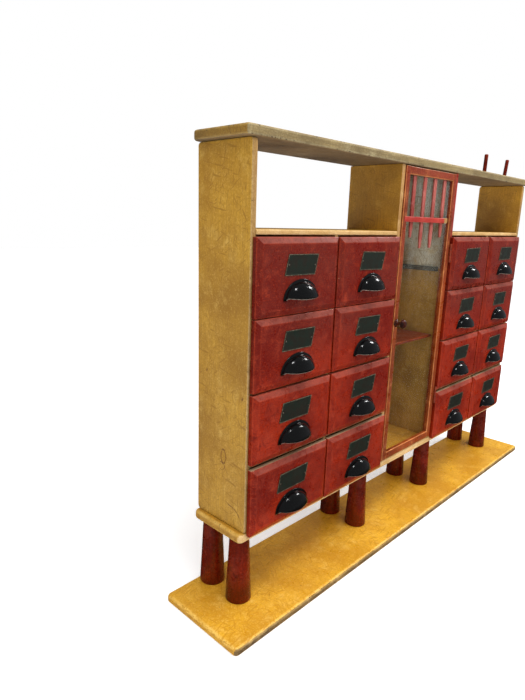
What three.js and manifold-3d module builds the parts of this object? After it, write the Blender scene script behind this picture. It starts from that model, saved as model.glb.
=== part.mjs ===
// Apothecary cabinet: a shallow case with two open niches, sixteen small drawers and a glazed
// door, carried on eight turned cones over a base board. Millimetres, +X along the case,
// -Y out of the front, +Z up, origin under the middle of the base board.
import * as THREE from 'three';
import { mergeVertices } from 'three/addons/utils/BufferGeometryUtils.js';
import Module from 'manifold-3d';

const wasm = await Module();
wasm.setup();

// Gap left between pieces that touch, so that every piece stays its own solid.
const SEAT_GAP = 0.3;

// Case: two sides, two partitions, a top board and a bottom board.
const CASE_WIDTH = 1270;
const CASE_DEPTH = 148;
const CASE_HEIGHT = 755;
const SIDE_THICKNESS = 13;
const SIDE_CORNER_RADIUS = 12;
const SIDE_EDGE_ROUND = 3;
const PARTITION_THICKNESS = 13;
const DOOR_BAY_WIDTH = 264;
const DOOR_BAY_OFFSET = -3;
const BACK_THICKNESS = 6;
const TOP_THICKNESS = 19;
const TOP_END_OVERHANG = 17;
const TOP_FRONT_OVERHANG = 6;
const TOP_FRONT_CORNER_RADIUS = 6;
const TOP_BACK_CORNER_RADIUS = 16;
const TOP_EDGE_ROUND = 5;
const BOTTOM_THICKNESS = 21;
const BOTTOM_END_OVERHANG = 12;
const BOTTOM_FRONT_SETBACK = 0.5;
const BOTTOM_CORNER_RADIUS = 12;
const BOTTOM_EDGE_ROUND = 7;

// Base board and legs.
const BASE_END_MARGIN = 83;
const BASE_FRONT_MARGIN = 70;
const BASE_BACK_MARGIN = 6;
const BASE_THICKNESS = 17;
const BASE_CORNER_RADIUS = 10;
const BASE_EDGE_ROUND = 6;
const LEG_HEIGHT = 157.4;
const LEG_FOOT_RADIUS = 28;
const LEG_NECK_RADIUS = 20.5;
const LEG_SIDES = 28;
const OUTER_LEG_INSET = 25;
const INNER_LEG_OFFSET = 174;
const LEG_FRONT_INSET = 40;
const LEG_BACK_INSET = 22;

// Drawer racks: a niche shelf, a divider and the runner boards of each side.
const NICHE_HEIGHT = 154;
const SHELF_THICKNESS = 10;
const DIVIDER_THICKNESS = 10;
const RUNNER_THICKNESS = 8;
const RUNNER_SETBACK = 0.6;
const DRAWER_ROWS = 4;

// Drawer fronts lie over the case. A positive lap covers the neighbour, a negative one leaves
// a reveal, and they differ because the fronts were fitted by hand.
const FRONT_THICKNESS = 15;
const FRONT_CHAMFER_WIDTH = 10;
const FRONT_CHAMFER_DEPTH = 5;
const COLUMN_LAPS = [
  { left: 8, right: -2 },
  { left: 7, right: -1 },
  { left: 9, right: -6 },
  { left: 4, right: -1 },
];
const ROW_LAPS = [
  { top: -3, bottom: 9 },
  { top: -3, bottom: 2 },
  { top: 1, bottom: -3 },
  { top: -2, bottom: 6 },
];
const TRAY_SIDE_CLEARANCE = 3;
const TRAY_TOP_CLEARANCE = 12;
const TRAY_BACK_CLEARANCE = 3;
const TRAY_WALL = 7;
const TRAY_FLOOR = 4;

// Label plate and cup pull on each front, measured from the middle of the front.
const LABEL_WIDTH = 88;
const LABEL_HEIGHT = 40;
const LABEL_THICKNESS = 1.6;
const LABEL_SLANT = 10;
const LABEL_RISE = 22;
const PULL_HALF_WIDTH = 46;
const PULL_RISE = 35;
const PULL_REACH = 24;
const PULL_WALL = 3;
const PULL_RIM = 5;
const PULL_RIM_THICKNESS = 2;
const PULL_DROP = 45;
const PULL_MOUTH_LIFT = 6;
const PULL_SIDES = 24;
const PULL_RINGS = 12;

// Shelf behind the glass, and the cleats of a second shelf that isn't fitted.
const COMPARTMENT_SHELF_THICKNESS = 7;
const COMPARTMENT_SHELF_HEIGHT = 303;
const COMPARTMENT_SHELF_SETBACK = 25;
const CLEAT_HEIGHT = 13;
const CLEAT_THICKNESS = 7;
const CLEAT_RISE = 491;
const CLEAT_SETBACK = 25;

// Door.
const DOOR_THICKNESS = 16;
const DOOR_STANDS_PROUD = 3;
const DOOR_SIDE_CLEARANCE = 2;
const DOOR_END_CLEARANCE = 2.7;
const STILE_WIDTH = 19;
const TOP_RAIL_WIDTH = 18.5;
const BOTTOM_RAIL_WIDTH = 20;
const GLASS_THICKNESS = 3;
const GLASS_LAP = 5;
const GLASS_RECESS = 9;
const HANGING_BAR_THICKNESS = 4;
const CROSS_BAR_HEIGHT = 13;
const CROSS_BAR_DROP = 103.5;
const CROSS_BAR_STANDS_PROUD = 1;
const CROSS_BAR_LET_IN = 12;
const CROSS_BAR_END_GAP = 13;
const HANGING_BAR_WIDTH = 14;
const HANGING_BAR_PITCH = 52;
const HANGING_BAR_LENGTHS = [147, 174, 174, 147];
const HANGING_BAR_TIP_WIDTH = 7;
const HANGING_BAR_TIP_LENGTH = 26;

// Door knob, turned, from its foot outwards.
const KNOB_HEIGHT_IN_DOOR = 373;
const KNOB_FOOT_RADIUS = 7;
const KNOB_NECK_RADIUS = 4.5;
const KNOB_HEAD_RADIUS = 12;
const KNOB_NECK_LENGTH = 14;
const KNOB_HEAD_LENGTH = 14;
const KNOB_SIDES = 32;
const KNOB_CURVE_STEPS = 5;

// Butt hinges on the right-hand stile.
const HINGE_HEIGHT = 50;
const HINGE_KNUCKLE_RADIUS = 3;
const HINGE_PIN_RADIUS = 1.4;
const HINGE_LEAF_THICKNESS = 0.8;
const HINGE_LEAF_REACH = 19;
const HINGE_PIN_AHEAD = 3.5;
const HINGE_HEIGHTS_IN_DOOR = { lower: 130, upper: 541 };
const HINGE_SIDES = 24;

// Dowel pegs on the top board.
const PEG_RADIUS = 6;
const PEG_LENGTH = 77;
const PEG_HOLE_DEPTH = 10;
const PEG_BACK_DISTANCE = 78;
const PEG_SIDES = 20;
const PEGS = [
  { name: 'peg_inner', fromEnd: 187, lean: 2 },
  { name: 'peg_outer', fromEnd: 24, lean: 10 },
];

const BOARD_CORNER_STEPS = 6;
const BOARD_EDGE_STEPS = 3;

const PAINT = {
  ochre: { color: 0xb08a3c, roughness: 0.55, metalness: 0 },
  golden: { color: 0xdca63a, roughness: 0.45, metalness: 0 },
  crimson: { color: 0x8e2a22, roughness: 0.35, metalness: 0 },
  oxblood: { color: 0x6d1d14, roughness: 0.35, metalness: 0 },
  rawPine: { color: 0xc19a63, roughness: 0.75, metalness: 0 },
  turnedWood: { color: 0x5d2613, roughness: 0.35, metalness: 0 },
  blackEnamel: { color: 0x0c0c0d, roughness: 0.2, metalness: 0.6 },
  brass: { color: 0x8a6a34, roughness: 0.45, metalness: 0.9 },
  glass: { color: 0xc8d2c6, roughness: 0.05, metalness: 0 },
};

// Places that follow from the sizes above.
const baseLength = CASE_WIDTH + 2 * BASE_END_MARGIN;
const baseDepth = CASE_DEPTH + BASE_FRONT_MARGIN + BASE_BACK_MARGIN;
const caseFront = BASE_FRONT_MARGIN - baseDepth / 2;
const caseBack = caseFront + CASE_DEPTH;
const legBottom = BASE_THICKNESS + SEAT_GAP;
const bottomBoardUnder = legBottom + LEG_HEIGHT + SEAT_GAP;
const caseFloor = bottomBoardUnder + BOTTOM_THICKNESS + SEAT_GAP;
const caseTop = caseFloor + CASE_HEIGHT - 2 * SEAT_GAP;
const topBoardUnder = caseTop + SEAT_GAP;
const nicheFloor = topBoardUnder - NICHE_HEIGHT;
const shelfUnder = nicheFloor - SHELF_THICKNESS;
const sideInner = CASE_WIDTH / 2 - SIDE_THICKNESS;
const bayLeft = DOOR_BAY_OFFSET - DOOR_BAY_WIDTH / 2;
const bayRight = DOOR_BAY_OFFSET + DOOR_BAY_WIDTH / 2;
const backBoardFront = caseBack - BACK_THICKNESS;

const cabinet = new THREE.Group();
const middle = (range) => (range[0] + range[1]) / 2;

function addPiece(name, geometry, paint, parent = cabinet) {
  const mesh = new THREE.Mesh(geometry, new THREE.MeshStandardMaterial(paint));
  mesh.name = name;
  parent.add(mesh);
  return mesh;
}

function slab(x, y, z) {
  const geometry = new THREE.BoxGeometry(x[1] - x[0], y[1] - y[0], z[1] - z[0]);
  return geometry.translate(middle(x), middle(y), middle(z));
}

function toSolid(geometry) {
  const plain = geometry.clone();
  plain.deleteAttribute('normal');
  plain.deleteAttribute('uv');
  const merged = mergeVertices(plain, 1e-5);
  const mesh = new wasm.Mesh({
    numProp: 3,
    vertProperties: new Float32Array(merged.attributes.position.array),
    triVerts: new Uint32Array(merged.index.array),
  });
  return new wasm.Manifold(mesh);
}

function toGeometry(solid) {
  const mesh = solid.getMesh();
  const geometry = new THREE.BufferGeometry();
  geometry.setAttribute('position', new THREE.BufferAttribute(new Float32Array(mesh.vertProperties), 3));
  geometry.setIndex(new THREE.BufferAttribute(new Uint32Array(mesh.triVerts), 1));
  geometry.computeVertexNormals();
  return geometry;
}

function join(geometries) {
  const [first, ...rest] = geometries.map(toSolid);
  return rest.reduce((whole, piece) => whole.add(piece), first);
}

// A board with round corners and softened edges, its underside at z = 0. The two corners on the
// low y side are its near ones, and the other two its far ones.
function roundedBoard(x, y, thickness, edgeRound, nearRadius, farRadius = nearRadius) {
  const outline = new THREE.Shape();
  const corners = [
    [x[1] - nearRadius, y[0] + nearRadius, nearRadius, -Math.PI / 2],
    [x[1] - farRadius, y[1] - farRadius, farRadius, 0],
    [x[0] + farRadius, y[1] - farRadius, farRadius, Math.PI / 2],
    [x[0] + nearRadius, y[0] + nearRadius, nearRadius, Math.PI],
  ];
  for (const [centreX, centreY, radius, start] of corners) {
    outline.absarc(centreX, centreY, radius, start, start + Math.PI / 2, false);
  }
  const geometry = new THREE.ExtrudeGeometry(outline, {
    depth: thickness - 2 * edgeRound,
    curveSegments: BOARD_CORNER_STEPS,
    bevelThickness: edgeRound,
    bevelSize: edgeRound,
    bevelOffset: -edgeRound,
    bevelSegments: BOARD_EDGE_STEPS,
  });
  return geometry.translate(0, 0, edgeRound);
}

function addBase() {
  const halfLength = baseLength / 2;
  const halfDepth = baseDepth / 2;
  const board = roundedBoard(
    [-halfLength, halfLength],
    [-halfDepth, halfDepth],
    BASE_THICKNESS,
    BASE_EDGE_ROUND,
    BASE_CORNER_RADIUS,
  );
  addPiece('base_board', board, PAINT.golden);
}

function addLegs() {
  const profile = [
    new THREE.Vector2(0, 0),
    new THREE.Vector2(LEG_FOOT_RADIUS, 0),
    new THREE.Vector2(LEG_NECK_RADIUS, LEG_HEIGHT),
    new THREE.Vector2(0, LEG_HEIGHT),
  ];
  const outerLegX = CASE_WIDTH / 2 - OUTER_LEG_INSET;
  const stations = [-outerLegX, -INNER_LEG_OFFSET, INNER_LEG_OFFSET, outerLegX];
  const rows = [
    { side: 'front', y: caseFront + LEG_FRONT_INSET },
    { side: 'back', y: caseBack - LEG_BACK_INSET },
  ];
  stations.forEach((x, index) => {
    for (const row of rows) {
      const cone = new THREE.LatheGeometry(profile, LEG_SIDES).rotateX(Math.PI / 2);
      const leg = addPiece(`leg_${row.side}_${index + 1}`, cone, PAINT.oxblood);
      leg.position.set(x, row.y, legBottom);
    }
  });
}

function addBottomBoard() {
  const halfLength = CASE_WIDTH / 2 + BOTTOM_END_OVERHANG;
  const board = roundedBoard(
    [-halfLength, halfLength],
    [caseFront + BOTTOM_FRONT_SETBACK, caseBack],
    BOTTOM_THICKNESS,
    BOTTOM_EDGE_ROUND,
    BOTTOM_CORNER_RADIUS,
  );
  addPiece('bottom_board', board, PAINT.golden).position.z = bottomBoardUnder;
}

function addSides() {
  const sides = [
    { name: 'side_panel_left', x: -CASE_WIDTH / 2 },
    { name: 'side_panel_right', x: sideInner },
  ];
  for (const { name, x } of sides) {
    const board = roundedBoard(
      [caseFront, caseBack],
      [caseFloor, caseTop],
      SIDE_THICKNESS,
      SIDE_EDGE_ROUND,
      SIDE_CORNER_RADIUS,
    );
    board.rotateX(Math.PI / 2).rotateZ(Math.PI / 2);
    addPiece(name, board, PAINT.ochre).position.x = x;
  }
}

// Each partition is full depth beside the niche and stops short of the back board below it. Its
// cleat is glued to the face in the door bay, and sinks into the board by the seat gap.
function addPartitions() {
  const partitions = [
    {
      name: 'partition_left',
      x: [bayLeft - PARTITION_THICKNESS, bayLeft],
      cleatX: [bayLeft - SEAT_GAP, bayLeft + CLEAT_THICKNESS],
    },
    {
      name: 'partition_right',
      x: [bayRight, bayRight + PARTITION_THICKNESS],
      cleatX: [bayRight - CLEAT_THICKNESS, bayRight + SEAT_GAP],
    },
  ];
  const cleatY = [caseFront + CLEAT_SETBACK, backBoardFront - SEAT_GAP];
  const cleatZ = [caseFloor + CLEAT_RISE, caseFloor + CLEAT_RISE + CLEAT_HEIGHT];
  for (const { name, x, cleatX } of partitions) {
    const board = join([
      slab(x, [caseFront, backBoardFront - SEAT_GAP], [caseFloor, caseTop]),
      slab(x, [caseFront, caseBack], [shelfUnder, caseTop]),
      slab(cleatX, cleatY, cleatZ),
    ]);
    addPiece(name, toGeometry(board), PAINT.ochre);
  }
}

// One opening of a rack, between its divider, its wall and the runner boards.
function drawerOpening(column, row) {
  const leftBlock = column < 2;
  const wallLeft = leftBlock ? -sideInner : bayRight + PARTITION_THICKNESS;
  const wallRight = leftBlock ? bayLeft - PARTITION_THICKNESS : sideInner;
  const width = (wallRight - wallLeft - DIVIDER_THICKNESS) / 2;
  const left = wallLeft + (column % 2) * (width + DIVIDER_THICKNESS);
  const runners = (DRAWER_ROWS - 1) * RUNNER_THICKNESS;
  const height = (shelfUnder - caseFloor - runners) / DRAWER_ROWS;
  const top = shelfUnder - row * (height + RUNNER_THICKNESS);
  return { x: [left, left + width], z: [top - height, top] };
}

function addRack(name, firstColumn) {
  const near = drawerOpening(firstColumn, 0);
  const far = drawerOpening(firstColumn + 1, 0);
  const wide = [near.x[0] + SEAT_GAP, far.x[1] - SEAT_GAP];
  const inner = [caseFront + RUNNER_SETBACK, backBoardFront - SEAT_GAP];
  const boards = [
    slab(wide, [caseFront, caseBack], [shelfUnder, nicheFloor]),
    slab([near.x[1], far.x[0]], inner, [caseFloor, nicheFloor - SHELF_THICKNESS / 2]),
  ];
  for (let row = 0; row < DRAWER_ROWS - 1; row += 1) {
    const runnerTop = drawerOpening(firstColumn, row).z[0];
    boards.push(slab(wide, inner, [runnerTop - RUNNER_THICKNESS, runnerTop]));
  }
  addPiece(name, toGeometry(join(boards)), PAINT.ochre);
}

function addBackBoards() {
  const y = [backBoardFront, caseBack];
  const lowerX = [SEAT_GAP - sideInner, sideInner - SEAT_GAP];
  const lower = slab(lowerX, y, [caseFloor, shelfUnder - SEAT_GAP]);
  addPiece('back_board_lower', lower, PAINT.rawPine);
  const upper = slab([bayLeft + SEAT_GAP, bayRight - SEAT_GAP], y, [shelfUnder, caseTop]);
  addPiece('back_board_upper', upper, PAINT.ochre);
}

// A peg's cylinder stands in its own drilled hole, leaning along the case.
function pegCylinder(peg, radius, length, sunk) {
  const x = CASE_WIDTH / 2 + TOP_END_OVERHANG - peg.fromEnd;
  const cylinder = new THREE.CylinderGeometry(radius, radius, length, PEG_SIDES);
  cylinder.rotateX(Math.PI / 2).translate(0, 0, length / 2 - sunk);
  cylinder.rotateY(THREE.MathUtils.degToRad(peg.lean));
  return cylinder.translate(x, caseBack - PEG_BACK_DISTANCE, topBoardUnder + TOP_THICKNESS);
}

function addTopBoard() {
  const halfLength = CASE_WIDTH / 2 + TOP_END_OVERHANG;
  const board = roundedBoard(
    [-halfLength, halfLength],
    [caseFront - TOP_FRONT_OVERHANG, caseBack],
    TOP_THICKNESS,
    TOP_EDGE_ROUND,
    TOP_FRONT_CORNER_RADIUS,
    TOP_BACK_CORNER_RADIUS,
  );
  let solid = toSolid(board.translate(0, 0, topBoardUnder));
  for (const peg of PEGS) {
    const hole = pegCylinder(peg, PEG_RADIUS + SEAT_GAP, 2 * PEG_HOLE_DEPTH, PEG_HOLE_DEPTH);
    solid = solid.subtract(toSolid(hole));
  }
  addPiece('top_board', toGeometry(solid), PAINT.golden);
}

function addPegs() {
  for (const peg of PEGS) {
    const dowel = pegCylinder(peg, PEG_RADIUS, PEG_LENGTH, PEG_HOLE_DEPTH - SEAT_GAP);
    addPiece(peg.name, dowel, PAINT.oxblood);
  }
}

// The face of one drawer front, lapped over its opening.
function drawerFront(column, row) {
  const opening = drawerOpening(column, row);
  const sideLap = COLUMN_LAPS[column];
  const endLap = ROW_LAPS[row];
  return {
    x: [opening.x[0] - sideLap.left, opening.x[1] + sideLap.right],
    z: [opening.z[0] - endLap.bottom, opening.z[1] + endLap.top],
  };
}

function frontPanel(front) {
  const halfWidth = (front.x[1] - front.x[0]) / 2;
  const halfHeight = (front.z[1] - front.z[0]) / 2;
  const outline = new THREE.Shape();
  outline.moveTo(-halfWidth, -halfHeight);
  outline.lineTo(halfWidth, -halfHeight);
  outline.lineTo(halfWidth, halfHeight);
  outline.lineTo(-halfWidth, halfHeight);
  const panel = new THREE.ExtrudeGeometry(outline, {
    depth: FRONT_THICKNESS,
    bevelThickness: FRONT_CHAMFER_DEPTH,
    bevelSize: FRONT_CHAMFER_WIDTH,
    bevelOffset: -FRONT_CHAMFER_WIDTH,
    bevelSegments: 1,
  });
  panel.rotateX(Math.PI / 2);
  const backFace = caseFront - SEAT_GAP;
  panel.translate(middle(front.x), backFace + FRONT_CHAMFER_DEPTH, middle(front.z));
  const behind = slab(
    [front.x[0] - FRONT_THICKNESS, front.x[1] + FRONT_THICKNESS],
    [backFace, backFace + 2 * FRONT_THICKNESS],
    [front.z[0] - FRONT_THICKNESS, front.z[1] + FRONT_THICKNESS],
  );
  return toSolid(panel).subtract(toSolid(behind));
}

// The plate's upright edges lean, so that its top edge stands further along +X than its bottom one.
function labelPlate(front) {
  const halfWidth = LABEL_WIDTH / 2;
  const halfHeight = LABEL_HEIGHT / 2;
  const lean = LABEL_SLANT / 2;
  const outline = new THREE.Shape();
  outline.moveTo(-halfWidth - lean, -halfHeight);
  outline.lineTo(halfWidth - lean, -halfHeight);
  outline.lineTo(halfWidth + lean, halfHeight);
  outline.lineTo(lean - halfWidth, halfHeight);
  const plate = new THREE.ExtrudeGeometry(outline, { depth: 2 * LABEL_THICKNESS, bevelEnabled: false });
  plate.rotateX(Math.PI / 2);
  const faceY = caseFront - SEAT_GAP - FRONT_THICKNESS;
  plate.translate(middle(front.x), faceY + LABEL_THICKNESS, middle(front.z) + LABEL_RISE);
  return toSolid(plate);
}

function drawerBody(column, row) {
  const opening = drawerOpening(column, row);
  const front = drawerFront(column, row);
  const backFace = caseFront - SEAT_GAP;
  const trayX = [opening.x[0] + TRAY_SIDE_CLEARANCE, opening.x[1] - TRAY_SIDE_CLEARANCE];
  const trayY = [backFace - FRONT_CHAMFER_DEPTH / 2, backBoardFront - TRAY_BACK_CLEARANCE];
  const trayZ = [opening.z[0] + SEAT_GAP, opening.z[1] - TRAY_TOP_CLEARANCE];
  const tray = slab(trayX, trayY, trayZ);
  const hollow = slab(
    [trayX[0] + TRAY_WALL, trayX[1] - TRAY_WALL],
    [backFace + TRAY_WALL, trayY[1] - TRAY_WALL],
    [trayZ[0] + TRAY_FLOOR, trayZ[1] + TRAY_FLOOR],
  );
  const body = frontPanel(front).add(toSolid(tray)).subtract(toSolid(hollow)).add(labelPlate(front));
  return toGeometry(body);
}

function ellipsoid(halfWidth, reach, rise) {
  const ball = new THREE.SphereGeometry(1, PULL_SIDES, PULL_RINGS);
  return toSolid(ball.scale(halfWidth, reach, rise));
}

// A cup pull is the upper front quarter of an egg-shaped shell, on a thin rim that reaches a little
// lower than the shell's mouth.
function pullBody() {
  const rim = new THREE.Shape();
  rim.absellipse(0, 0, PULL_HALF_WIDTH + PULL_RIM, PULL_RISE + PULL_RIM, 0, Math.PI, false, 0);
  const rimPlate = new THREE.ExtrudeGeometry(rim, {
    depth: PULL_RIM_THICKNESS,
    curveSegments: PULL_SIDES,
    bevelEnabled: false,
  });
  rimPlate.rotateX(Math.PI / 2);
  const outerCup = ellipsoid(PULL_HALF_WIDTH, PULL_REACH, PULL_RISE);
  const innerCup = ellipsoid(PULL_HALF_WIDTH - PULL_WALL, PULL_REACH - PULL_WALL, PULL_RISE - PULL_WALL);
  const quarter = slab(
    [-2 * PULL_HALF_WIDTH, 2 * PULL_HALF_WIDTH],
    [-2 * PULL_REACH, 0],
    [PULL_MOUTH_LIFT, 2 * PULL_RISE],
  );
  const shell = outerCup.intersect(toSolid(quarter)).add(toSolid(rimPlate)).subtract(innerCup);
  return toGeometry(shell);
}

function addDrawers() {
  const pull = pullBody();
  const faceY = caseFront - 2 * SEAT_GAP - FRONT_THICKNESS;
  for (let row = 0; row < DRAWER_ROWS; row += 1) {
    COLUMN_LAPS.forEach((_, column) => {
      const place = `${column + 1}_${row + 1}`;
      const front = drawerFront(column, row);
      addPiece(`drawer_${place}`, drawerBody(column, row), PAINT.crimson);
      const cup = addPiece(`cup_pull_${place}`, pull.clone(), PAINT.blackEnamel);
      cup.position.set(middle(front.x), faceY, middle(front.z) - PULL_DROP);
    });
  }
}

function addCompartmentShelf() {
  const under = caseFloor + COMPARTMENT_SHELF_HEIGHT;
  const shelf = slab(
    [bayLeft + SEAT_GAP, bayRight - SEAT_GAP],
    [caseFront + COMPARTMENT_SHELF_SETBACK, backBoardFront - SEAT_GAP],
    [under, under + COMPARTMENT_SHELF_THICKNESS],
  );
  addPiece('compartment_shelf', shelf, PAINT.oxblood);
}

const doorX = [bayLeft + DOOR_SIDE_CLEARANCE, bayRight - DOOR_SIDE_CLEARANCE];
const doorZ = [caseFloor + DOOR_END_CLEARANCE, caseTop - DOOR_END_CLEARANCE];
const doorY = [caseFront - DOOR_STANDS_PROUD, caseFront - DOOR_STANDS_PROUD + DOOR_THICKNESS];
const sightX = [doorX[0] + STILE_WIDTH, doorX[1] - STILE_WIDTH];
const sightZ = [doorZ[0] + BOTTOM_RAIL_WIDTH, doorZ[1] - TOP_RAIL_WIDTH];
const glassSeat = doorY[0] + GLASS_RECESS;
const hangingBarFront = glassSeat - HANGING_BAR_THICKNESS;
const crossBarMiddle = sightZ[1] - CROSS_BAR_DROP;
const crossBarZ = [crossBarMiddle - CROSS_BAR_HEIGHT / 2, crossBarMiddle + CROSS_BAR_HEIGHT / 2];

function addDoorFrame() {
  const through = [doorY[0] - DOOR_THICKNESS, doorY[1] + DOOR_THICKNESS];
  const rebate = slab(
    [sightX[0] - GLASS_LAP, sightX[1] + GLASS_LAP],
    [glassSeat, through[1]],
    [sightZ[0] - GLASS_LAP, sightZ[1] + GLASS_LAP],
  );
  const crossBarNotch = slab(
    [sightX[0] - CROSS_BAR_LET_IN - SEAT_GAP, sightX[0] + SEAT_GAP],
    [through[0], hangingBarFront + SEAT_GAP],
    [crossBarZ[0] - SEAT_GAP, crossBarZ[1] + SEAT_GAP],
  );
  const frame = toSolid(slab(doorX, doorY, doorZ))
    .subtract(toSolid(slab(sightX, through, sightZ)))
    .subtract(toSolid(rebate))
    .subtract(toSolid(crossBarNotch));
  addPiece('door_frame', toGeometry(frame), PAINT.crimson);
}

function addDoorGlass() {
  const reach = GLASS_LAP - SEAT_GAP;
  const pane = slab(
    [sightX[0] - reach, sightX[1] + reach],
    [glassSeat + SEAT_GAP, glassSeat + SEAT_GAP + GLASS_THICKNESS],
    [sightZ[0] - reach, sightZ[1] + reach],
  );
  addPiece('door_glass', pane, { ...PAINT.glass, transparent: true, opacity: 0.35 });
}

// Four bars hang from the top rail and end in blunt points. One bar crosses in front of them. Its
// left end is let into the stile, and its right end stops short of the other one.
function addGlazingBars() {
  const barTop = sightZ[1] - SEAT_GAP;
  const bars = [
    slab(
      [sightX[0] - CROSS_BAR_LET_IN, sightX[1] - CROSS_BAR_END_GAP],
      [doorY[0] - CROSS_BAR_STANDS_PROUD, hangingBarFront],
      crossBarZ,
    ),
  ];
  HANGING_BAR_LENGTHS.forEach((length, index) => {
    const fromMiddle = index - (HANGING_BAR_LENGTHS.length - 1) / 2;
    const x = middle(sightX) + fromMiddle * HANGING_BAR_PITCH;
    const tipTop = HANGING_BAR_TIP_LENGTH - length;
    const outline = new THREE.Shape();
    outline.moveTo(-HANGING_BAR_WIDTH / 2, 0);
    outline.lineTo(-HANGING_BAR_WIDTH / 2, tipTop);
    outline.lineTo(-HANGING_BAR_TIP_WIDTH / 2, -length);
    outline.lineTo(HANGING_BAR_TIP_WIDTH / 2, -length);
    outline.lineTo(HANGING_BAR_WIDTH / 2, tipTop);
    outline.lineTo(HANGING_BAR_WIDTH / 2, 0);
    const settings = { depth: HANGING_BAR_THICKNESS, bevelEnabled: false };
    const bar = new THREE.ExtrudeGeometry(outline, settings).rotateX(Math.PI / 2);
    bars.push(bar.translate(x, glassSeat, barTop));
  });
  addPiece('glazing_bars', toGeometry(join(bars)), PAINT.crimson);
}

function addDoorKnob() {
  const outline = new THREE.Path();
  outline.moveTo(0, 0);
  outline.lineTo(KNOB_FOOT_RADIUS, 0);
  outline.quadraticCurveTo(KNOB_NECK_RADIUS, 0, KNOB_NECK_RADIUS, KNOB_NECK_LENGTH / 2);
  outline.lineTo(KNOB_NECK_RADIUS, KNOB_NECK_LENGTH);
  const knobLength = KNOB_NECK_LENGTH + KNOB_HEAD_LENGTH;
  const widestAt = KNOB_NECK_LENGTH + KNOB_HEAD_LENGTH / 3;
  outline.quadraticCurveTo(KNOB_HEAD_RADIUS, KNOB_NECK_LENGTH, KNOB_HEAD_RADIUS, widestAt);
  outline.quadraticCurveTo(KNOB_HEAD_RADIUS, knobLength, 0, knobLength);
  const knob = new THREE.LatheGeometry(outline.getPoints(KNOB_CURVE_STEPS), KNOB_SIDES);
  const mesh = addPiece('door_knob', knob.rotateX(Math.PI), PAINT.turnedWood);
  mesh.position.set(doorX[0] + STILE_WIDTH / 2, doorY[0] - SEAT_GAP, doorZ[0] + KNOB_HEIGHT_IN_DOOR);
}

// The fixed half of a butt hinge: its leaf, its two end knuckles and the pin between them.
function hingeFixedHalf() {
  const third = HINGE_HEIGHT / 6;
  const half = HINGE_HEIGHT / 2;
  const profile = [
    [0, -half],
    [HINGE_KNUCKLE_RADIUS, -half],
    [HINGE_KNUCKLE_RADIUS, -third],
    [HINGE_PIN_RADIUS, -third],
    [HINGE_PIN_RADIUS, third],
    [HINGE_KNUCKLE_RADIUS, third],
    [HINGE_KNUCKLE_RADIUS, half],
    [0, half],
  ].map(([radius, height]) => new THREE.Vector2(radius, height));
  const barrel = new THREE.LatheGeometry(profile, HINGE_SIDES).rotateX(Math.PI / 2);
  const leafRight = DOOR_SIDE_CLEARANCE / 2 - SEAT_GAP;
  const leafX = [leafRight - HINGE_LEAF_THICKNESS, leafRight];
  const leaf = toSolid(slab(leafX, [0, HINGE_LEAF_REACH], [-half, half]));
  const knuckleRoom = HINGE_KNUCKLE_RADIUS + SEAT_GAP;
  const gap = slab([-knuckleRoom, knuckleRoom], [-knuckleRoom, knuckleRoom], [-third, third]);
  return toGeometry(leaf.subtract(toSolid(gap)).add(toSolid(barrel)));
}

function addHinges() {
  const pinX = bayRight - DOOR_SIDE_CLEARANCE / 2;
  for (const [end, height] of Object.entries(HINGE_HEIGHTS_IN_DOOR)) {
    const hinge = addPiece(`hinge_${end}`, hingeFixedHalf(), PAINT.brass);
    hinge.position.set(pinX, doorY[0] - HINGE_PIN_AHEAD, doorZ[0] + height);
  }
}

addBase();
addLegs();
addBottomBoard();
addSides();
addPartitions();
addRack('drawer_rack_left', 0);
addRack('drawer_rack_right', 2);
addBackBoards();
addTopBoard();
addPegs();
addDrawers();
addCompartmentShelf();
addDoorFrame();
addDoorGlass();
addGlazingBars();
addDoorKnob();
addHinges();

export default cabinet;
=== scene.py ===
import math
import random

import bmesh
import bpy
from mathutils import Matrix, Vector


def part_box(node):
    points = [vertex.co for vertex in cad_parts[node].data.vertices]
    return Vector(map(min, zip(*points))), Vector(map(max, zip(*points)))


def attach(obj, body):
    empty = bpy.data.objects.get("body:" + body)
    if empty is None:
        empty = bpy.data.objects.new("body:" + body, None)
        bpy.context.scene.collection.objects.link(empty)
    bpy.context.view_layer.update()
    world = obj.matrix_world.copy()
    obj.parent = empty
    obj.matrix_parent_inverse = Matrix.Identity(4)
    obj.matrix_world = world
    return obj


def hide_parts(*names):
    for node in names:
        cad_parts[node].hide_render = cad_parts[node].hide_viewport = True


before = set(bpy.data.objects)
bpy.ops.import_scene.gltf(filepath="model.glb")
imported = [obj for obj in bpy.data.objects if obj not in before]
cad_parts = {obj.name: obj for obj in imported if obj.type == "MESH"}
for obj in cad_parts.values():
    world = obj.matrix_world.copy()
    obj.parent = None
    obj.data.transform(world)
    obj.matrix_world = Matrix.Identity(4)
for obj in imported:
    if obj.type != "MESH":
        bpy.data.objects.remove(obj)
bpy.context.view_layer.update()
MM = 0.001

# ---------------------------------------------------------------- camera

CAMERA_PLACE = (-1.3086, -0.7333, 0.8119)
CAMERA_YAW = 46.15
CAMERA_PITCH = -13.63
CAMERA_ROLL = 1.76
CAMERA_LENS = 27.64
CAMERA_SENSOR = 36.0
CAMERA_SHIFT = (-0.0045, 0.0016)


def put_in_scene(made):
    bpy.context.scene.collection.objects.link(made)
    return made


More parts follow.
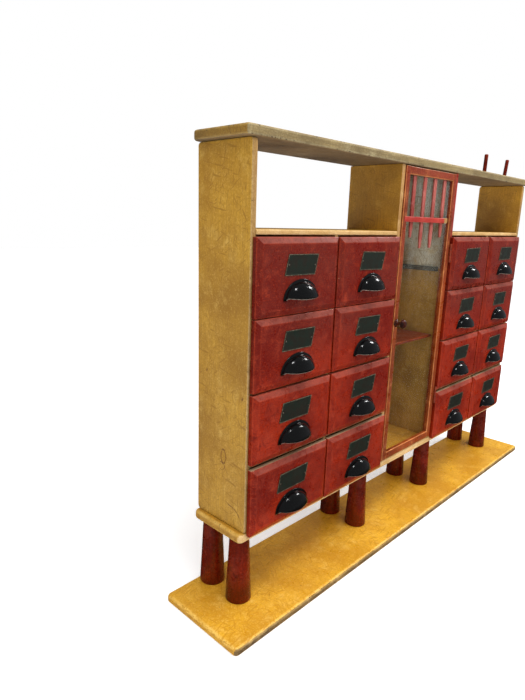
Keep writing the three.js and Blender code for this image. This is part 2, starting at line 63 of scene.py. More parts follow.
def add_camera():
    """A camera at the left front, looking slightly down along the case."""
    data = bpy.data.cameras.new("camera")
    data.sensor_fit = "VERTICAL"
    data.sensor_height = CAMERA_SENSOR
    data.lens = CAMERA_LENS
    data.shift_x, data.shift_y = CAMERA_SHIFT
    data.clip_start = 0.01
    camera = put_in_scene(bpy.data.objects.new("camera", data))
    turn = (
        Matrix.Rotation(-math.radians(CAMERA_YAW), 4, "Z")
        @ Matrix.Rotation(math.radians(90 + CAMERA_PITCH), 4, "X")
        @ Matrix.Rotation(math.radians(CAMERA_ROLL), 4, "Z")
    )
    camera.matrix_world = Matrix.Translation(CAMERA_PLACE) @ turn
    bpy.context.scene.camera = camera


# ---------------------------------------------------------------- material nodes

# The colour inputs of a Mix node.
MIX_A, MIX_B = 6, 7
NICK_ANGLES = (12, 57, 101, 149)


def srgb(red, green, blue):
    """A linear RGBA colour from 0-255 display values."""

    def linear(value):
        value /= 255
        return value / 12.92 if value <= 0.04045 else ((value + 0.055) / 1.055) ** 2.4

    return (linear(red), linear(green), linear(blue), 1.0)


def add_node(tree, kind, feeds, **settings):
    """A new node with its settings. feeds gives inputs, each as a socket to link or a plain value."""
    made = tree.nodes.new(kind)
    for key, value in settings.items():
        setattr(made, key, value)
    for key, source in feeds.items():
        if isinstance(source, bpy.types.NodeSocket):
            tree.links.new(source, made.inputs[key])
        else:
            made.inputs[key].default_value = source
    return made


class Shade:
    """Builds one node material. Each method adds nodes and returns their output socket."""

    def __init__(self, name):
        self.material = bpy.data.materials.new(name)
        self.material.use_nodes = True
        self.tree = self.material.node_tree
        self.shader = self.tree.nodes["Principled BSDF"]
        self.place = self.node("ShaderNodeTexCoord", {}).outputs["Object"]

    def node(self, kind, feeds, **settings):
        return add_node(self.tree, kind, feeds, **settings)

    def stretched(self, scale=(1, 1, 1), turn=(0, 0, 0)):
        """The place on the object, turned in degrees and scaled along each axis."""
        feeds = {
            "Vector": self.place,
            "Scale": [1 / share for share in scale],
            "Rotation": [math.radians(angle) for angle in turn],
        }
        return self.node("ShaderNodeMapping", feeds, vector_type="TEXTURE").outputs["Vector"]

    def noise(self, scale, detail=4, roughness=0.55, distortion=0.0, stretch=(1, 1, 1), turn=(0, 0, 0)):
        feeds = {
            "Vector": self.stretched(stretch, turn), "Scale": scale, "Detail": detail,
            "Roughness": roughness, "Distortion": distortion,
        }
        return self.node("ShaderNodeTexNoise", feeds).outputs["Fac"]

    def between(self, value, low, high, start=0.0, end=1.0):
        """value's step from low to high, eased, as start to end."""
        feeds = {"Value": value, "From Min": low, "From Max": high, "To Min": start, "To Max": end}
        return self.node("ShaderNodeMapRange", feeds, interpolation_type="SMOOTHSTEP").outputs["Result"]

    def math(self, operation, *values):
        return self.node("ShaderNodeMath", dict(enumerate(values)), operation=operation).outputs[0]

    def times(self, a, b):
        return self.math("MULTIPLY", a, b)

    def larger(self, a, b):
        return self.math("MAXIMUM", a, b)

    def apart(self, a, b):
        return self.math("ABSOLUTE", self.math("SUBTRACT", a, b))

    def mix(self, factor, a, b):
        feeds = {0: factor, MIX_A: a, MIX_B: b}
        return self.node("ShaderNodeMix", feeds, data_type="RGBA").outputs[2]

    def bump(self, height, distance, strength, **below):
        feeds = {"Height": height, "Distance": distance, "Strength": strength, **below}
        return self.node("ShaderNodeBump", feeds).outputs["Normal"]

    def wear(self):
        """The mesh's own record of where its edges are rubbed, from 0 to 1."""
        return self.node("ShaderNodeAttribute", {}, attribute_name="wear").outputs["Fac"]

    def axis(self, letter, vector=None):
        return self.node("ShaderNodeSeparateXYZ", {0: vector or self.place}).outputs[letter]

    def speckles(self, scale, radius, share):
        """Small round marks in about that share of the cells."""
        cells = self.node("ShaderNodeTexVoronoi", {"Vector": self.stretched(), "Scale": scale})
        draw = self.node("ShaderNodeSeparateColor", {0: cells.outputs["Color"]})
        chosen = self.math("LESS_THAN", draw.outputs[0], share)
        size = self.times(draw.outputs[1], radius)
        return self.times(self.math("LESS_THAN", cells.outputs["Distance"], size), chosen)

    def nicks(self, scale, plane, share):
        """Short straight scratches at several angles in a plane, given by its normal's letter."""
        marks = 0.0
        for step, angle in enumerate(NICK_ANGLES):
            turn = {"x": (angle, 0, 0), "y": (0, angle, 0), "z": (0, 0, angle)}[plane]
            long = {"x": (1.0, 0.12, 1.0), "y": (0.12, 1.0, 1.0), "z": (0.12, 1.0, 1.0)}[plane]
            wave = self.noise(scale * (1 + 0.21 * step), detail=1, stretch=long, turn=turn)
            marks = self.larger(marks, self.between(wave, 1 - share, 1.02 - share))
        return marks

    def gouge(self, centre, radius, width, tall, reach):
        """One arc cut in the left panel's outer face, round the centre (y, z) and tall times as high
        as wide. It shows where y is within reach[1] of reach[0], counted from the centre."""
        across = self.math("SUBTRACT", self.axis("Y"), centre[0])
        up = self.math("DIVIDE", self.math("SUBTRACT", self.axis("Z"), centre[1]), tall)
        squares = self.math("ADD", self.math("POWER", across, 2.0), self.math("POWER", up, 2.0))
        line = self.between(self.apart(self.math("SQRT", squares), radius), width * 0.3, width, 1.0, 0.0)
        inside = self.math("LESS_THAN", self.apart(across, reach[0]), reach[1])
        left = self.math("LESS_THAN", self.axis("X"), 0.0)
        broken = self.between(self.noise(240, detail=3), 0.36, 0.5, 0.2, 1.0)
        return self.times(self.times(line, broken), self.times(inside, left))

    def scratches(self, scale, width, stretch, turn, share):
        """Thin curved lines: the places where a long, stretched noise crosses its middle."""
        wave = self.noise(scale, detail=2, stretch=stretch, turn=turn, distortion=0.4)
        line = self.between(self.apart(wave, 0.5), 0.0, width, 1.0, 0.0)
        where = self.between(self.noise(scale * 0.9, detail=1), 1 - share, 1 - share + 0.08)
        return self.times(line, where)

    def finish(self, colour, roughness, normal=None, **sockets):
        """Links the shader. sockets are uniform values, set on the shader's own inputs."""
        linked = {"Base Color": colour, "Roughness": roughness, "Normal": normal}
        for name, source in linked.items():
            if isinstance(source, bpy.types.NodeSocket):
                self.tree.links.new(source, self.shader.inputs[name])
            elif source is not None:
                self.shader.inputs[name].default_value = source
        for name, value in sockets.items():
            socket = name.replace("_", " ").title().replace("Ior", "IOR")
            self.shader.inputs[socket].default_value = value
        return self.material


# Stretches that draw strokes or grain along one axis.
ALONG_X = (0.03, 1.0, 1.0)
ALONG_Y = (1.0, 0.05, 1.0)
ALONG_Z = (1.0, 1.0, 0.03)

# Noise scales of the paint's features, from the broadest to the finest.
CLOUD, PATCH, STAIN, FLAKE, NICK, PEBBLE, STROKE, BRISTLE = 7, 34, 58, 165, 190, 330, 420, 1500
STROKE_DEPTH = 0.12 * MM
CUT_DEPTH = 0.35 * MM
# The pale tint of faces that look up: painted sheen of the light above, partly dust.
DUST_AND_SHEEN = srgb(172, 112, 98)
GOUGED = srgb(104, 52, 20)


def painted_wood(
    name,
    paint,
    deep,
    light,
    under,
    strokes=ALONG_X,
    gloss=(0.25, 0.45),
    chips=0.5,
    edge_wear=0.5,
    dots=0.05,
    scratch=0.5,
    aloft=None,
    aloft_from=(0.4, 0.72),
    stroke_tone=0.42,
    shine=0.5,
    plane="y",
    nick=0.33,
    blotch=0.0,
    grain=0.35,
    dust_and_sheen=0.0,
    gouges=(),
):
    """Brushed paint on wood: strokes, a tone that varies in clouds, scratches, dark dents, and chips at the
    edges.

    The four colours are the paint, its dark and its light variation, and what shows under a chip.
    aloft is the colour it turns to higher up, from one height to another; on the drawers' red that is painted
    reflection. The nicks lie in plane.
    """
    shade = Shade(f"{name}_paint")
    paint, deep, light, under = (srgb(*colour) for colour in (paint, deep, light, under))
    dark = tuple(channel * 0.28 for channel in deep[:3]) + (1.0,)
    stroke = shade.noise(STROKE, detail=3, roughness=0.6, stretch=strokes)
    bristle = shade.noise(BRISTLE, detail=2, stretch=strokes)
    patch = shade.noise(PATCH, detail=5, roughness=0.65, distortion=0.3)
    pebble = shade.noise(PEBBLE, detail=3, roughness=0.7)
    wear = shade.wear()

    # The colour, from broad to fine. On the drawers' red the colour higher up is painted reflection, and
    # faces that look up can take a paler painted sheen, partly dust.
    if aloft:
        paint = shade.mix(shade.between(shade.axis("Z"), *aloft_from), paint, srgb(*aloft))
    cloud = shade.noise(CLOUD, detail=5, roughness=0.6)
    tone = shade.mix(shade.between(cloud, 0.32, 0.7), paint, deep)
    tone = shade.mix(shade.between(patch, 0.5, 0.78, 0.0, 0.6), tone, light)
    tone = shade.mix(shade.between(stroke, 0.3, 0.72, 0.0, stroke_tone), tone, deep)
    if blotch:
        stain = shade.noise(STAIN, detail=6, roughness=0.7, distortion=0.5)
        tone = shade.mix(shade.between(stain, 0.52, 0.68, 0.0, blotch), tone, deep)
    tone = shade.mix(shade.between(pebble, 0.5, 0.66, 0.0, grain), tone, deep)
    tone = shade.mix(shade.between(pebble, 0.48, 0.34, 0.0, grain * 0.7), tone, light)
    # A paler tint on faces that look up: painted sheen, partly dust.
    if dust_and_sheen:
        up = shade.axis("Z", shade.node("ShaderNodeNewGeometry", {}).outputs["Normal"])
        lying = shade.times(shade.between(up, 0.12, 0.5), shade.between(patch, 0.3, 0.6, 0.55, 1.0))
        tone = shade.mix(shade.times(lying, dust_and_sheen), tone, DUST_AND_SHEEN)

    # Wear: rubbed edges, chips down to the wood, scratches, nicks, dents and gouges.
    rub = shade.times(wear, shade.between(patch, 0.25, 0.7, 0.25, 1.0))
    tone = shade.mix(shade.times(rub, edge_wear), tone, light)
    flake = shade.noise(FLAKE, detail=7, roughness=0.68, distortion=0.2)
    chip = shade.between(shade.math("MULTIPLY_ADD", wear, 0.16 * chips, flake), 0.735, 0.755)
    tone = shade.mix(chip, tone, under)
    lines = shade.larger(
        shade.scratches(13, 0.0045, (1.0, 1.0, 1.0), (20, 35, 50), share=0.46),
        shade.scratches(26, 0.004, (1.0, 0.35, 0.6), (10, 60, 15), share=0.42),
    )
    tone = shade.mix(shade.times(lines, scratch * 0.55), tone, deep)
    nicked = shade.nicks(NICK, plane, nick)
    tone = shade.mix(shade.times(nicked, 0.75 * scratch), tone, deep)
    dents = shade.larger(shade.speckles(95, 0.14, dots), shade.speckles(240, 0.2, dots * 0.8))
    tone = shade.mix(shade.times(dents, 0.75), tone, dark)
    for gouge in gouges:
        tone = shade.mix(shade.times(shade.gouge(*gouge), 0.8), tone, GOUGED)

    relief = shade.math("MULTIPLY_ADD", stroke, 0.6, shade.times(bristle, 0.25))
    relief = shade.bump(relief, STROKE_DEPTH, 0.55)
    marks = shade.math("ADD", dents, shade.times(shade.larger(lines, nicked), 0.4))
    cuts = shade.math("ADD", shade.times(chip, 0.5), marks)
    relief = shade.bump(shade.times(cuts, -1.0), CUT_DEPTH, 0.6, Normal=relief)
    rough = shade.larger(shade.between(patch, 0.3, 0.75, *gloss), shade.times(chip, 0.75))
    return shade.finish(tone, rough, relief, specular_ior_level=shine)


def bare_wood(name, pale, dark, strokes):
    """Unpainted softwood with growth rings and pores."""
    shade = Shade(name)
    bands = shade.noise(9, detail=3, stretch=strokes, distortion=0.8)
    bands = shade.math("FRACT", shade.times(bands, 15.0))
    ring = shade.times(shade.between(bands, 0.0, 0.85), shade.between(bands, 1.0, 0.86))
    pores = shade.noise(900, detail=2, stretch=strokes)
    tone = shade.mix(shade.times(ring, 0.55), srgb(*pale), srgb(*dark))
    tone = shade.mix(shade.between(pores, 0.45, 0.75, 0.0, 0.4), tone, srgb(*dark))
    tone = shade.mix(shade.between(shade.noise(5, detail=4), 0.4, 0.75, 0.0, 0.45), tone, srgb(*dark))
    relief = shade.bump(shade.math("ADD", shade.times(ring, 0.4), pores), 0.12 * MM, 0.6)
    return shade.finish(tone, shade.between(pores, 0.3, 0.7, 0.6, 0.82), relief)


def varnished_wood(name):
    """Dark turned wood under a thin varnish."""
    shade = Shade(name)
    grain = shade.noise(60, detail=5, stretch=(1.0, 0.12, 1.0), distortion=0.6)
    tone = shade.mix(shade.between(grain, 0.35, 0.68), srgb(74, 26, 12), srgb(30, 8, 6))
    rough = shade.between(grain, 0.3, 0.7, 0.2, 0.34)
    relief = shade.bump(grain, 0.08 * MM, 0.4)
    return shade.finish(tone, rough, relief, coat_weight=0.4, coat_roughness=0.12)


def black_enamel(name):
    """Cast metal under glossy black enamel, rubbed a little on its rims. The light grey at the cup's lip is
    partly that wear, partly painted highlight.
    """
    shade = Shade(name)
    cast = shade.noise(260, detail=4)
    rubbed = shade.between(shade.noise(300, detail=4), 0.3, 0.55, 0.45, 0.95)
    rub = shade.times(shade.between(shade.wear(), 0.5, 1.0), rubbed)
    tone = shade.mix(rub, srgb(3, 3, 3), srgb(158, 150, 138))
    rough = shade.between(cast, 0.3, 0.75, 0.08, 0.2)
    relief = shade.bump(cast, 0.45 * MM, 0.5)
    return shade.finish(tone, rough, relief, specular_ior_level=0.5, coat_weight=0.25, coat_roughness=0.05)


def label_metal(name):
    """A dark green-grey tin plate with a stained face and a rubbed edge."""
    shade = Shade(name)
    stain = shade.noise(75, detail=6, roughness=0.65)
    tone = shade.mix(shade.between(stain, 0.34, 0.68), srgb(34, 46, 38), srgb(46, 40, 32))
    fine = shade.noise(600, detail=3)
    tone = shade.mix(shade.between(fine, 0.56, 0.75, 0.0, 0.35), tone, srgb(84, 88, 74))
    rubbed = shade.between(shade.noise(260, detail=4), 0.4, 0.62, 0.15, 0.8)
    tone = shade.mix(shade.times(shade.wear(), rubbed), tone, srgb(136, 128, 104))
    relief = shade.bump(stain, 0.2 * MM, 0.4)
    return shade.finish(tone, shade.between(stain, 0.3, 0.7, 0.32, 0.5), relief, metallic=0.35)


def old_metal(name):
    """Tarnished steel, for pins and nails."""
    shade = Shade(name)
    stain = shade.noise(350, detail=5, roughness=0.6)
    tone = shade.mix(shade.between(stain, 0.35, 0.68), srgb(176, 168, 150), srgb(96, 88, 74))
    relief = shade.bump(stain, 0.1 * MM, 0.4)
    return shade.finish(tone, shade.between(stain, 0.3, 0.7, 0.3, 0.55), relief, metallic=0.85)


def window_glass(name):
    """Old window glass: clear, with a whitish painted reflection in streaks that thickens towards its top and
    right.
    """
    shade = Shade(name)
    haze = shade.noise(7, detail=4, roughness=0.6, stretch=(1, 1, 0.3))
    reflection_streaks = shade.noise(16, detail=5, roughness=0.6, stretch=(1, 1, 0.12), distortion=0.3)
    aloft = shade.between(shade.axis("Z"), 0.6, 0.76)
    aside = shade.between(shade.axis("X"), -0.08, 0.06, 0.3, 1.0)
    # Whitish streaks towards the top and right: painted reflection.
    painted_reflection = shade.times(shade.times(aloft, aside), shade.between(reflection_streaks, 0.4, 0.64, 0.2, 1.0))
    tone = shade.mix(shade.between(haze, 0.35, 0.7), srgb(96, 98, 88), srgb(60, 64, 58))
    tone = shade.mix(painted_reflection, tone, srgb(216, 222, 214))
    alpha = shade.math("MULTIPLY_ADD", painted_reflection, 0.3, 0.05)
    shade.tree.links.new(alpha, shade.shader.inputs["Alpha"])
    return shade.finish(tone, 0.04, specular_ior_level=0.3)


# ---------------------------------------------------------------- paints and other materials

# Each gouge has its centre (y, z), radius, width, height for its width, and reach, in metres.
GOUGES = (
    ((5 * MM, 205 * MM), 38 * MM, 1.8 * MM, 1.0, (-14 * MM, 18 * MM)),
    ((24 * MM, 344 * MM), 7 * MM, 1.5 * MM, 2.2, (0.0, 12 * MM)),
    ((30 * MM, 322 * MM), 10 * MM, 1.2 * MM, 0.8, (-4 * MM, 8 * MM)),
    ((77 * MM, 516 * MM), 1 * MM, 2.4 * MM, 1.4, (0.0, 9 * MM)),
    ((-28 * MM, 480 * MM), 1 * MM, 2.2 * MM, 1.6, (0.0, 9 * MM)),
)
OCHRE = painted_wood(
    "ochre", (204, 154, 44), (160, 112, 26), (226, 186, 92), (110, 74, 34),
    strokes=ALONG_Z, gloss=(0.42, 0.6), dots=0.1, edge_wear=0.9, chips=0.85, scratch=1.0, stroke_tone=0.5,
    plane="x", nick=0.32, blotch=0.45, grain=0.45, gouges=GOUGES,
)
# A darker copy of the ochre, for the inner faces of the sides and most faces of the partitions: painted
# shade.
OCHRE_PAINTED_SHADE = painted_wood(
    "ochre_painted_shade", (196, 144, 38), (146, 102, 26), (218, 174, 80), (84, 56, 28),
    strokes=ALONG_Z, gloss=(0.42, 0.6), dots=0.12, edge_wear=0.6, chips=0.9, scratch=0.8, stroke_tone=0.5,
    plane="x",
)
OCHRE_SHELF = painted_wood(
    "ochre_shelf", (206, 160, 66), (170, 124, 38), (232, 200, 136), (226, 194, 132),
    gloss=(0.42, 0.6), edge_wear=1.0, plane="z",
)
CREAM_EDGE = painted_wood(
    "cream_edge", (196, 154, 96), (150, 106, 54), (224, 188, 132), (96, 64, 34),
    strokes=ALONG_Z, gloss=(0.4, 0.6), dots=0.14, chips=0.7, edge_wear=0.3, blotch=0.4,
)
SIDE_EDGE = painted_wood(
    "side_edge", (172, 134, 74), (122, 86, 42), (214, 180, 122), (80, 54, 30),
    strokes=ALONG_Z, gloss=(0.4, 0.6), dots=0.16, chips=0.8, blotch=0.5,
)
BOTTOM_PAINT = painted_wood(
    "bottom_board", (200, 146, 44), (140, 96, 30), (226, 184, 96), (104, 72, 36),
    gloss=(0.3, 0.48), dots=0.14, edge_wear=0.8, chips=0.9, plane="x", blotch=0.5,
)
CREAM_FRONT = painted_wood(
    "cream_front", (226, 188, 128), (186, 144, 80), (242, 216, 166), (120, 82, 44),
    gloss=(0.4, 0.6), dots=0.14, chips=0.6, edge_wear=0.3, blotch=0.4,
)
BASE_EDGE = painted_wood(
    "base_edge", (150, 116, 58), (84, 62, 34), (226, 186, 112), (58, 42, 28),
    gloss=(0.4, 0.6), dots=0.2, chips=1.0, edge_wear=0.55, blotch=0.8,
)
TOP_EDGE = painted_wood(
    "top_edge", (158, 136, 88), (110, 92, 58), (196, 182, 140), (66, 54, 40),
    gloss=(0.5, 0.7), dots=0.2, chips=1.2, stroke_tone=0.7, blotch=0.5, nick=0.36,
)
TOP_UNDER = painted_wood(
    "top_under", (140, 114, 74), (98, 78, 52), (164, 140, 100), (70, 56, 40),
    gloss=(0.5, 0.7), dots=0.08, chips=0.6, edge_wear=0.3, stroke_tone=0.7, plane="z", blotch=0.5,
)
GOLDEN = painted_wood(
    "golden", (234, 178, 50), (192, 134, 30), (246, 206, 110), (120, 86, 42),
    gloss=(0.26, 0.44), dots=0.14, edge_wear=0.7, scratch=1.0, plane="z", nick=0.36, blotch=0.4, grain=0.5,
)
TOP_PAINT = painted_wood(
    "top_board", (164, 124, 44), (116, 86, 36), (190, 160, 96), (84, 68, 46),
    gloss=(0.42, 0.62), dots=0.14, chips=1.1, edge_wear=0.6, stroke_tone=0.7, plane="x", blotch=0.4,
)
# Drawer red, browner above the height of the upper rows: painted reflection. Its faces that look up take a
# paler painted sheen, partly dust.
RED = painted_wood(
    "red", (158, 40, 8), (98, 12, 4), (180, 64, 30), (206, 160, 118),
    gloss=(0.24, 0.42), dots=0.09, chips=0.45, aloft=(98, 37, 29), aloft_from=(0.5, 0.62), shine=0.22,
    blotch=0.85, dust_and_sheen=0.34, grain=0.6,
)
SHELF_RED = painted_wood(
    "shelf_red", (128, 44, 12), (84, 20, 6), (160, 76, 34), (196, 130, 90),
    gloss=(0.3, 0.5), dots=0.08, chips=0.6, edge_wear=0.9, shine=0.2, plane="z",
)
RED_UPRIGHT = painted_wood(
    "red_upright", (160, 44, 26), (124, 26, 16), (196, 84, 54), (214, 160, 110),
    strokes=ALONG_Z, gloss=(0.24, 0.4), dots=0.04, edge_wear=0.8,
)
OXBLOOD = painted_wood(
    "dark_red", (124, 28, 4), (62, 8, 2), (158, 56, 16), (206, 140, 88),
    strokes=ALONG_Z, gloss=(0.2, 0.36), dots=0.08, chips=0.6, edge_wear=0.7, shine=0.3, blotch=0.7, grain=0.4,
)
# The door's red: its rounded edges turn pale orange, partly wear and partly painted highlight, and it turns
# browner towards its top.
DOOR_RED = painted_wood(
    "door_red", (150, 64, 18), (104, 36, 12), (222, 146, 84), (226, 170, 112),
    strokes=ALONG_Z, gloss=(0.26, 0.42), dots=0.06, chips=0.7, edge_wear=0.95, aloft=(142, 54, 38),
    aloft_from=(0.55, 0.85), shine=0.35, blotch=0.3,
)
# The hanging bars' pale pink is partly their paint, partly painted reflection.
BAR_RED = painted_wood(
    "bar_red", (190, 104, 92), (128, 44, 38), (210, 142, 130), (226, 170, 112),
    strokes=ALONG_Z, gloss=(0.3, 0.5), dots=0.04, chips=0.3, edge_wear=0.2, shine=0.3,
)
CROSS_RED = painted_wood(
    "cross_red", (196, 62, 50), (150, 34, 26), (214, 104, 86), (226, 170, 112),
    gloss=(0.3, 0.5), dots=0.04, chips=0.3, edge_wear=0.3,
)
# The bay's walls turn near white above the cleats' height: partly a paler paint, partly painted reflection of
# the glass.
BAY_WALL = painted_wood(
    "bay_wall", (196, 150, 62), (132, 98, 34), (214, 180, 104), (176, 138, 88),
    strokes=ALONG_Z, gloss=(0.45, 0.65), dots=0.1, chips=0.4, aloft=(242, 246, 226), aloft_from=(0.694, 0.70),
    shine=0.3, plane="x", blotch=0.3,
)
DARK_CLEAT = painted_wood(
    "dark_cleat", (70, 62, 48), (44, 38, 30), (92, 80, 60), (176, 138, 88), strokes=ALONG_Y, chips=0.2,
)
FRONT_TOP = painted_wood(
    "front_top", (190, 170, 138), (140, 112, 84), (214, 198, 170), (110, 50, 34),
    gloss=(0.45, 0.65), dots=0.1, chips=0.6, edge_wear=0.2, plane="z", shine=0.3,
)
HINGE_PAINT = painted_wood(
    "hinge", (150, 60, 34), (118, 38, 22), (160, 96, 54), (150, 116, 60),
    strokes=ALONG_Z, gloss=(0.28, 0.42), dots=0.02, chips=0.9,
)
PINE_X = bare_wood("bare_wood_x", (206, 168, 116), (166, 120, 70), ALONG_X)
PINE_Y = bare_wood("bare_wood_y", (200, 162, 112), (160, 116, 68), ALONG_Y)
PINE_Z = bare_wood("bare_wood_z", (186, 148, 98), (146, 106, 62), ALONG_Z)
WALNUT = varnished_wood("turned_wood")
ENAMEL = black_enamel("black_enamel")
LABEL = label_metal("label_metal")
PIN = old_metal("pin_metal")
GLASS = window_glass("door_glass")

# ---------------------------------------------------------------- mesh building

PLACES = {
    "x": lambda u, v, height: (height, u, v),
    "y": lambda u, v, height: (u, height, v),
    "z": lambda u, v, height: (u, v, height),
}
EDGE_SUPPORT = 1.2 * MM
FORWARDS = (0, -1, 0)
BACKWARDS = (0, 1, 0)


def worn_mesh():
    """An empty mesh whose vertices each hold their wear."""
    builder = bmesh.new()
    builder.verts.layers.float.new("wear")
    return builder


def add_vertex(builder, place, wear):
    vertex = builder.verts.new(place)
    vertex[builder.verts.layers.float["wear"]] = wear
    return vertex


def to_object(name, builder, materials):
    """Turns a bmesh into a smooth, linked object with its materials."""
    bmesh.ops.recalc_face_normals(builder, faces=builder.faces)
    mesh = bpy.data.meshes.new(name)
    builder.to_mesh(mesh)
    builder.free()
    for material in materials:
        mesh.materials.append(material)
    mesh.shade_smooth()
    return put_in_scene(bpy.data.objects.new(name, mesh))


def ring_stack(name, rings, materials):
    """A closed solid through rings of points, each point as its place and its wear."""
    builder = worn_mesh()
    stack = [[add_vertex(builder, place, wear) for place, wear in ring] for ring in rings]
    count = len(stack[0])
    for low, high in zip(stack, stack[1:]):
        for index in range(count):
            after = (index + 1) % count
            builder.faces.new((low[index], low[after], high[after], high[index]))
    builder.faces.new(stack[0])
    builder.faces.new(stack[-1])
    return to_object(name, builder, materials)


def rectangle(low, high):
    return [(low[0], low[1]), (high[0], low[1]), (high[0], high[1]), (low[0], high[1])]


class Plan:
    """A polygon with rounded corners, which can be drawn smaller with its corners still clean."""

    def __init__(self, corners, radii, steps=5):
        self.corners = [Vector(corner) for corner in corners]
        self.radii = radii if isinstance(radii, list) else [radii] * len(corners)
        self.steps = steps
        pairs = zip(self.corners, self.corners[1:] + self.corners[:1])
        self.side = 1 if sum(a.cross(b) for a, b in pairs) > 0 else -1

    def ring(self, inset):
        """The outline moved in by inset, as (u, v, arc), where arc is 1 at the middle of a corner."""
        count = len(self.corners)
        moved = []
        turns = []
        for index, corner in enumerate(self.corners):
            ahead = (self.corners[(index + 1) % count] - corner).normalized()
            behind = (corner - self.corners[index - 1]).normalized()
            normals = [Vector((-way.y, way.x)) * self.side for way in (behind, ahead)]
            middle = (normals[0] + normals[1]).normalized()
            moved.append(corner + middle * (inset / middle.dot(normals[0])))
            turns.append(behind.cross(ahead) * self.side)
        outline = []
        for index, corner in enumerate(moved):
            change = -inset if turns[index] > 0 else inset
            radius = max(0.03 * MM, self.radii[index] + change)
            before = (moved[index - 1] - corner).normalized()
            after = (moved[(index + 1) % count] - corner).normalized()
            half = before.angle(after) / 2
            centre = corner + (before + after).normalized() * (radius / math.sin(half))
            start = corner + before * (radius / math.tan(half)) - centre
            end = corner + after * (radius / math.tan(half)) - centre
            sweep = math.atan2(start.cross(end), start.dot(end))
            for step in range(self.steps + 1):
                share = step / self.steps
                place = centre + Matrix.Rotation(sweep * share, 2) @ start
                outline.append((place.x, place.y, math.sin(math.pi * share)))
        return outline


def ring_solid(name, axis, plan, profile, materials, corner_wear=1.0):
    """A closed solid through the plan's rings. Each profile entry is (inset, height, wear)."""
    place = PLACES[axis]
    rings = []
    for inset, height, wear in profile:
        rubbed = corner_wear if inset < 0.5 * MM else 0.0
        rings.append([(place(u, v, height), max(wear, arc * rubbed)) for u, v, arc in plan.ring(inset)])
    return ring_stack(name, rings, materials)


def eased(low, high, low_round, high_round, steps=4):
    """The profile of a board's thickness, with both edges rounded."""
    sign = 1 if high > low else -1
    profile = [(low_round + EDGE_SUPPORT, low, 0.0), (low_round, low, 0.0)]
    for step in range(1, steps):
        angle = math.pi / 2 * step / steps
        inset = low_round * (1 - math.sin(angle))
        profile.append((inset, low + sign * low_round * (1 - math.cos(angle)), math.sin(2 * angle)))
    profile.append((0.0, low + sign * low_round, 0.0))
    middle = abs(high - low) - low_round - high_round
    if middle > 2 * EDGE_SUPPORT:
        profile.append((0.0, low + sign * (low_round + EDGE_SUPPORT), 0.0))
        profile.append((0.0, high - sign * (high_round + EDGE_SUPPORT), 0.0))
    profile.append((0.0, high - sign * high_round, 0.0))
    for step in range(1, steps):
        angle = math.pi / 2 * step / steps
        inset = high_round * (1 - math.cos(angle))
        profile.append((inset, high - sign * high_round * (1 - math.sin(angle)), math.sin(2 * angle)))
    return profile + [(high_round, high, 0.0), (high_round + EDGE_SUPPORT, high, 0.0)]


def board(name, axis, low, high, material, edge=1.5 * MM, corner=0.8 * MM):
    """A plank between two corners. axis is its thickness, and its long edges are rounded."""
    depth = "xyz".index(axis)
    across = [index for index in range(3) if index != depth]
    outline = Plan(rectangle([low[i] for i in across], [high[i] for i in across]), corner)
    return ring_solid(name, axis, outline, eased(low[depth], high[depth], edge, edge), [material])


def lathe(name, profile, material, sides=48, axis=(0, 0, 1), at=(0, 0, 0), wobble=0.0):
    """A turned solid from (radius, height, wear) points, along axis from a place."""
    turn = Vector((0, 0, 1)).rotation_difference(Vector(axis)).to_matrix()
    origin = Vector(at)
    rings = []
    for radius, height, wear in profile:
        ring = []
        for side in range(sides):
            angle = 2 * math.pi * side / sides
            uneven = 1 + wobble * math.sin(3 * angle + 40 * height)
            point = Vector((math.cos(angle) * radius * uneven, math.sin(angle) * radius * uneven, height))
            ring.append((origin + turn @ point, wear))
        rings.append(ring)
    return ring_stack(name, rings, [material])


def dome_head(radius, height, base):
    """The profile of a small domed head that stands on a surface."""
    profile = [(radius * 0.5, base - height * 0.5, 0.0), (radius, base - height * 0.4, 0.0)]
    for step in range(5):
        angle = math.pi / 2 * step / 5
        profile.append((radius * math.cos(angle), base + height * math.sin(angle), 0.5))
    return profile + [(radius * 0.08, base + height, 0.5)]


def repaint(piece, *rules):
    """Gives each face the material slot of the first rule whose test it passes."""
    for face in piece.data.polygons:
        for slot, passes in rules:
            if passes(face):
                face.material_index = slot
                break


def looks_forward(face):
    return face.normal.y < -0.3


def join_pieces(pieces, name):
    """Joins pieces into the first one, keeping each one's material."""
    target = pieces[0]
    with bpy.context.temp_override(
        active_object=target, object=target, selected_objects=pieces, selected_editable_objects=pieces
    ):
        bpy.ops.object.join()
    target.name = name
    return target


def settle(piece, body, replaces=()):
    """Puts a finished piece on its CAD body, and hides the CAD nodes it stands for."""
    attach(piece, body)
    if replaces:
        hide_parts(*replaces)
    return piece


# ---------------------------------------------------------------- places from the frame


def span(node, axis):
    low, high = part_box(node)
    index = "xyz".index(axis)
    return low[index], high[index]


SEAT = 0.3 * MM
SHELF_THICK = 10 * MM
DIVIDER_THICK = 10 * MM
RUNNER_THICK = 8 * MM
PARTITION_THICK = 13 * MM
ROWS = 4
CASE_FRONT, CASE_BACK = span("side_panel_left", "y")
CASE_FLOOR = span("side_panel_left", "z")[0]
BACK_FRONT = span("back_board_lower", "y")[0]
NICHE_FLOOR = span("drawer_rack_left", "z")[1]
SHELF_UNDER = NICHE_FLOOR - SHELF_THICK
OPENING_HEIGHT = (SHELF_UNDER - CASE_FLOOR - (ROWS - 1) * RUNNER_THICK) / ROWS


def partition_board(name):
    """The x where a partition's own board starts and ends, without its cleat."""
    low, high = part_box(name)
    if name == "partition_left":
        return low[0], low[0] + PARTITION_THICK
    return high[0] - PARTITION_THICK, high[0]


# ---------------------------------------------------------------- base, legs and case

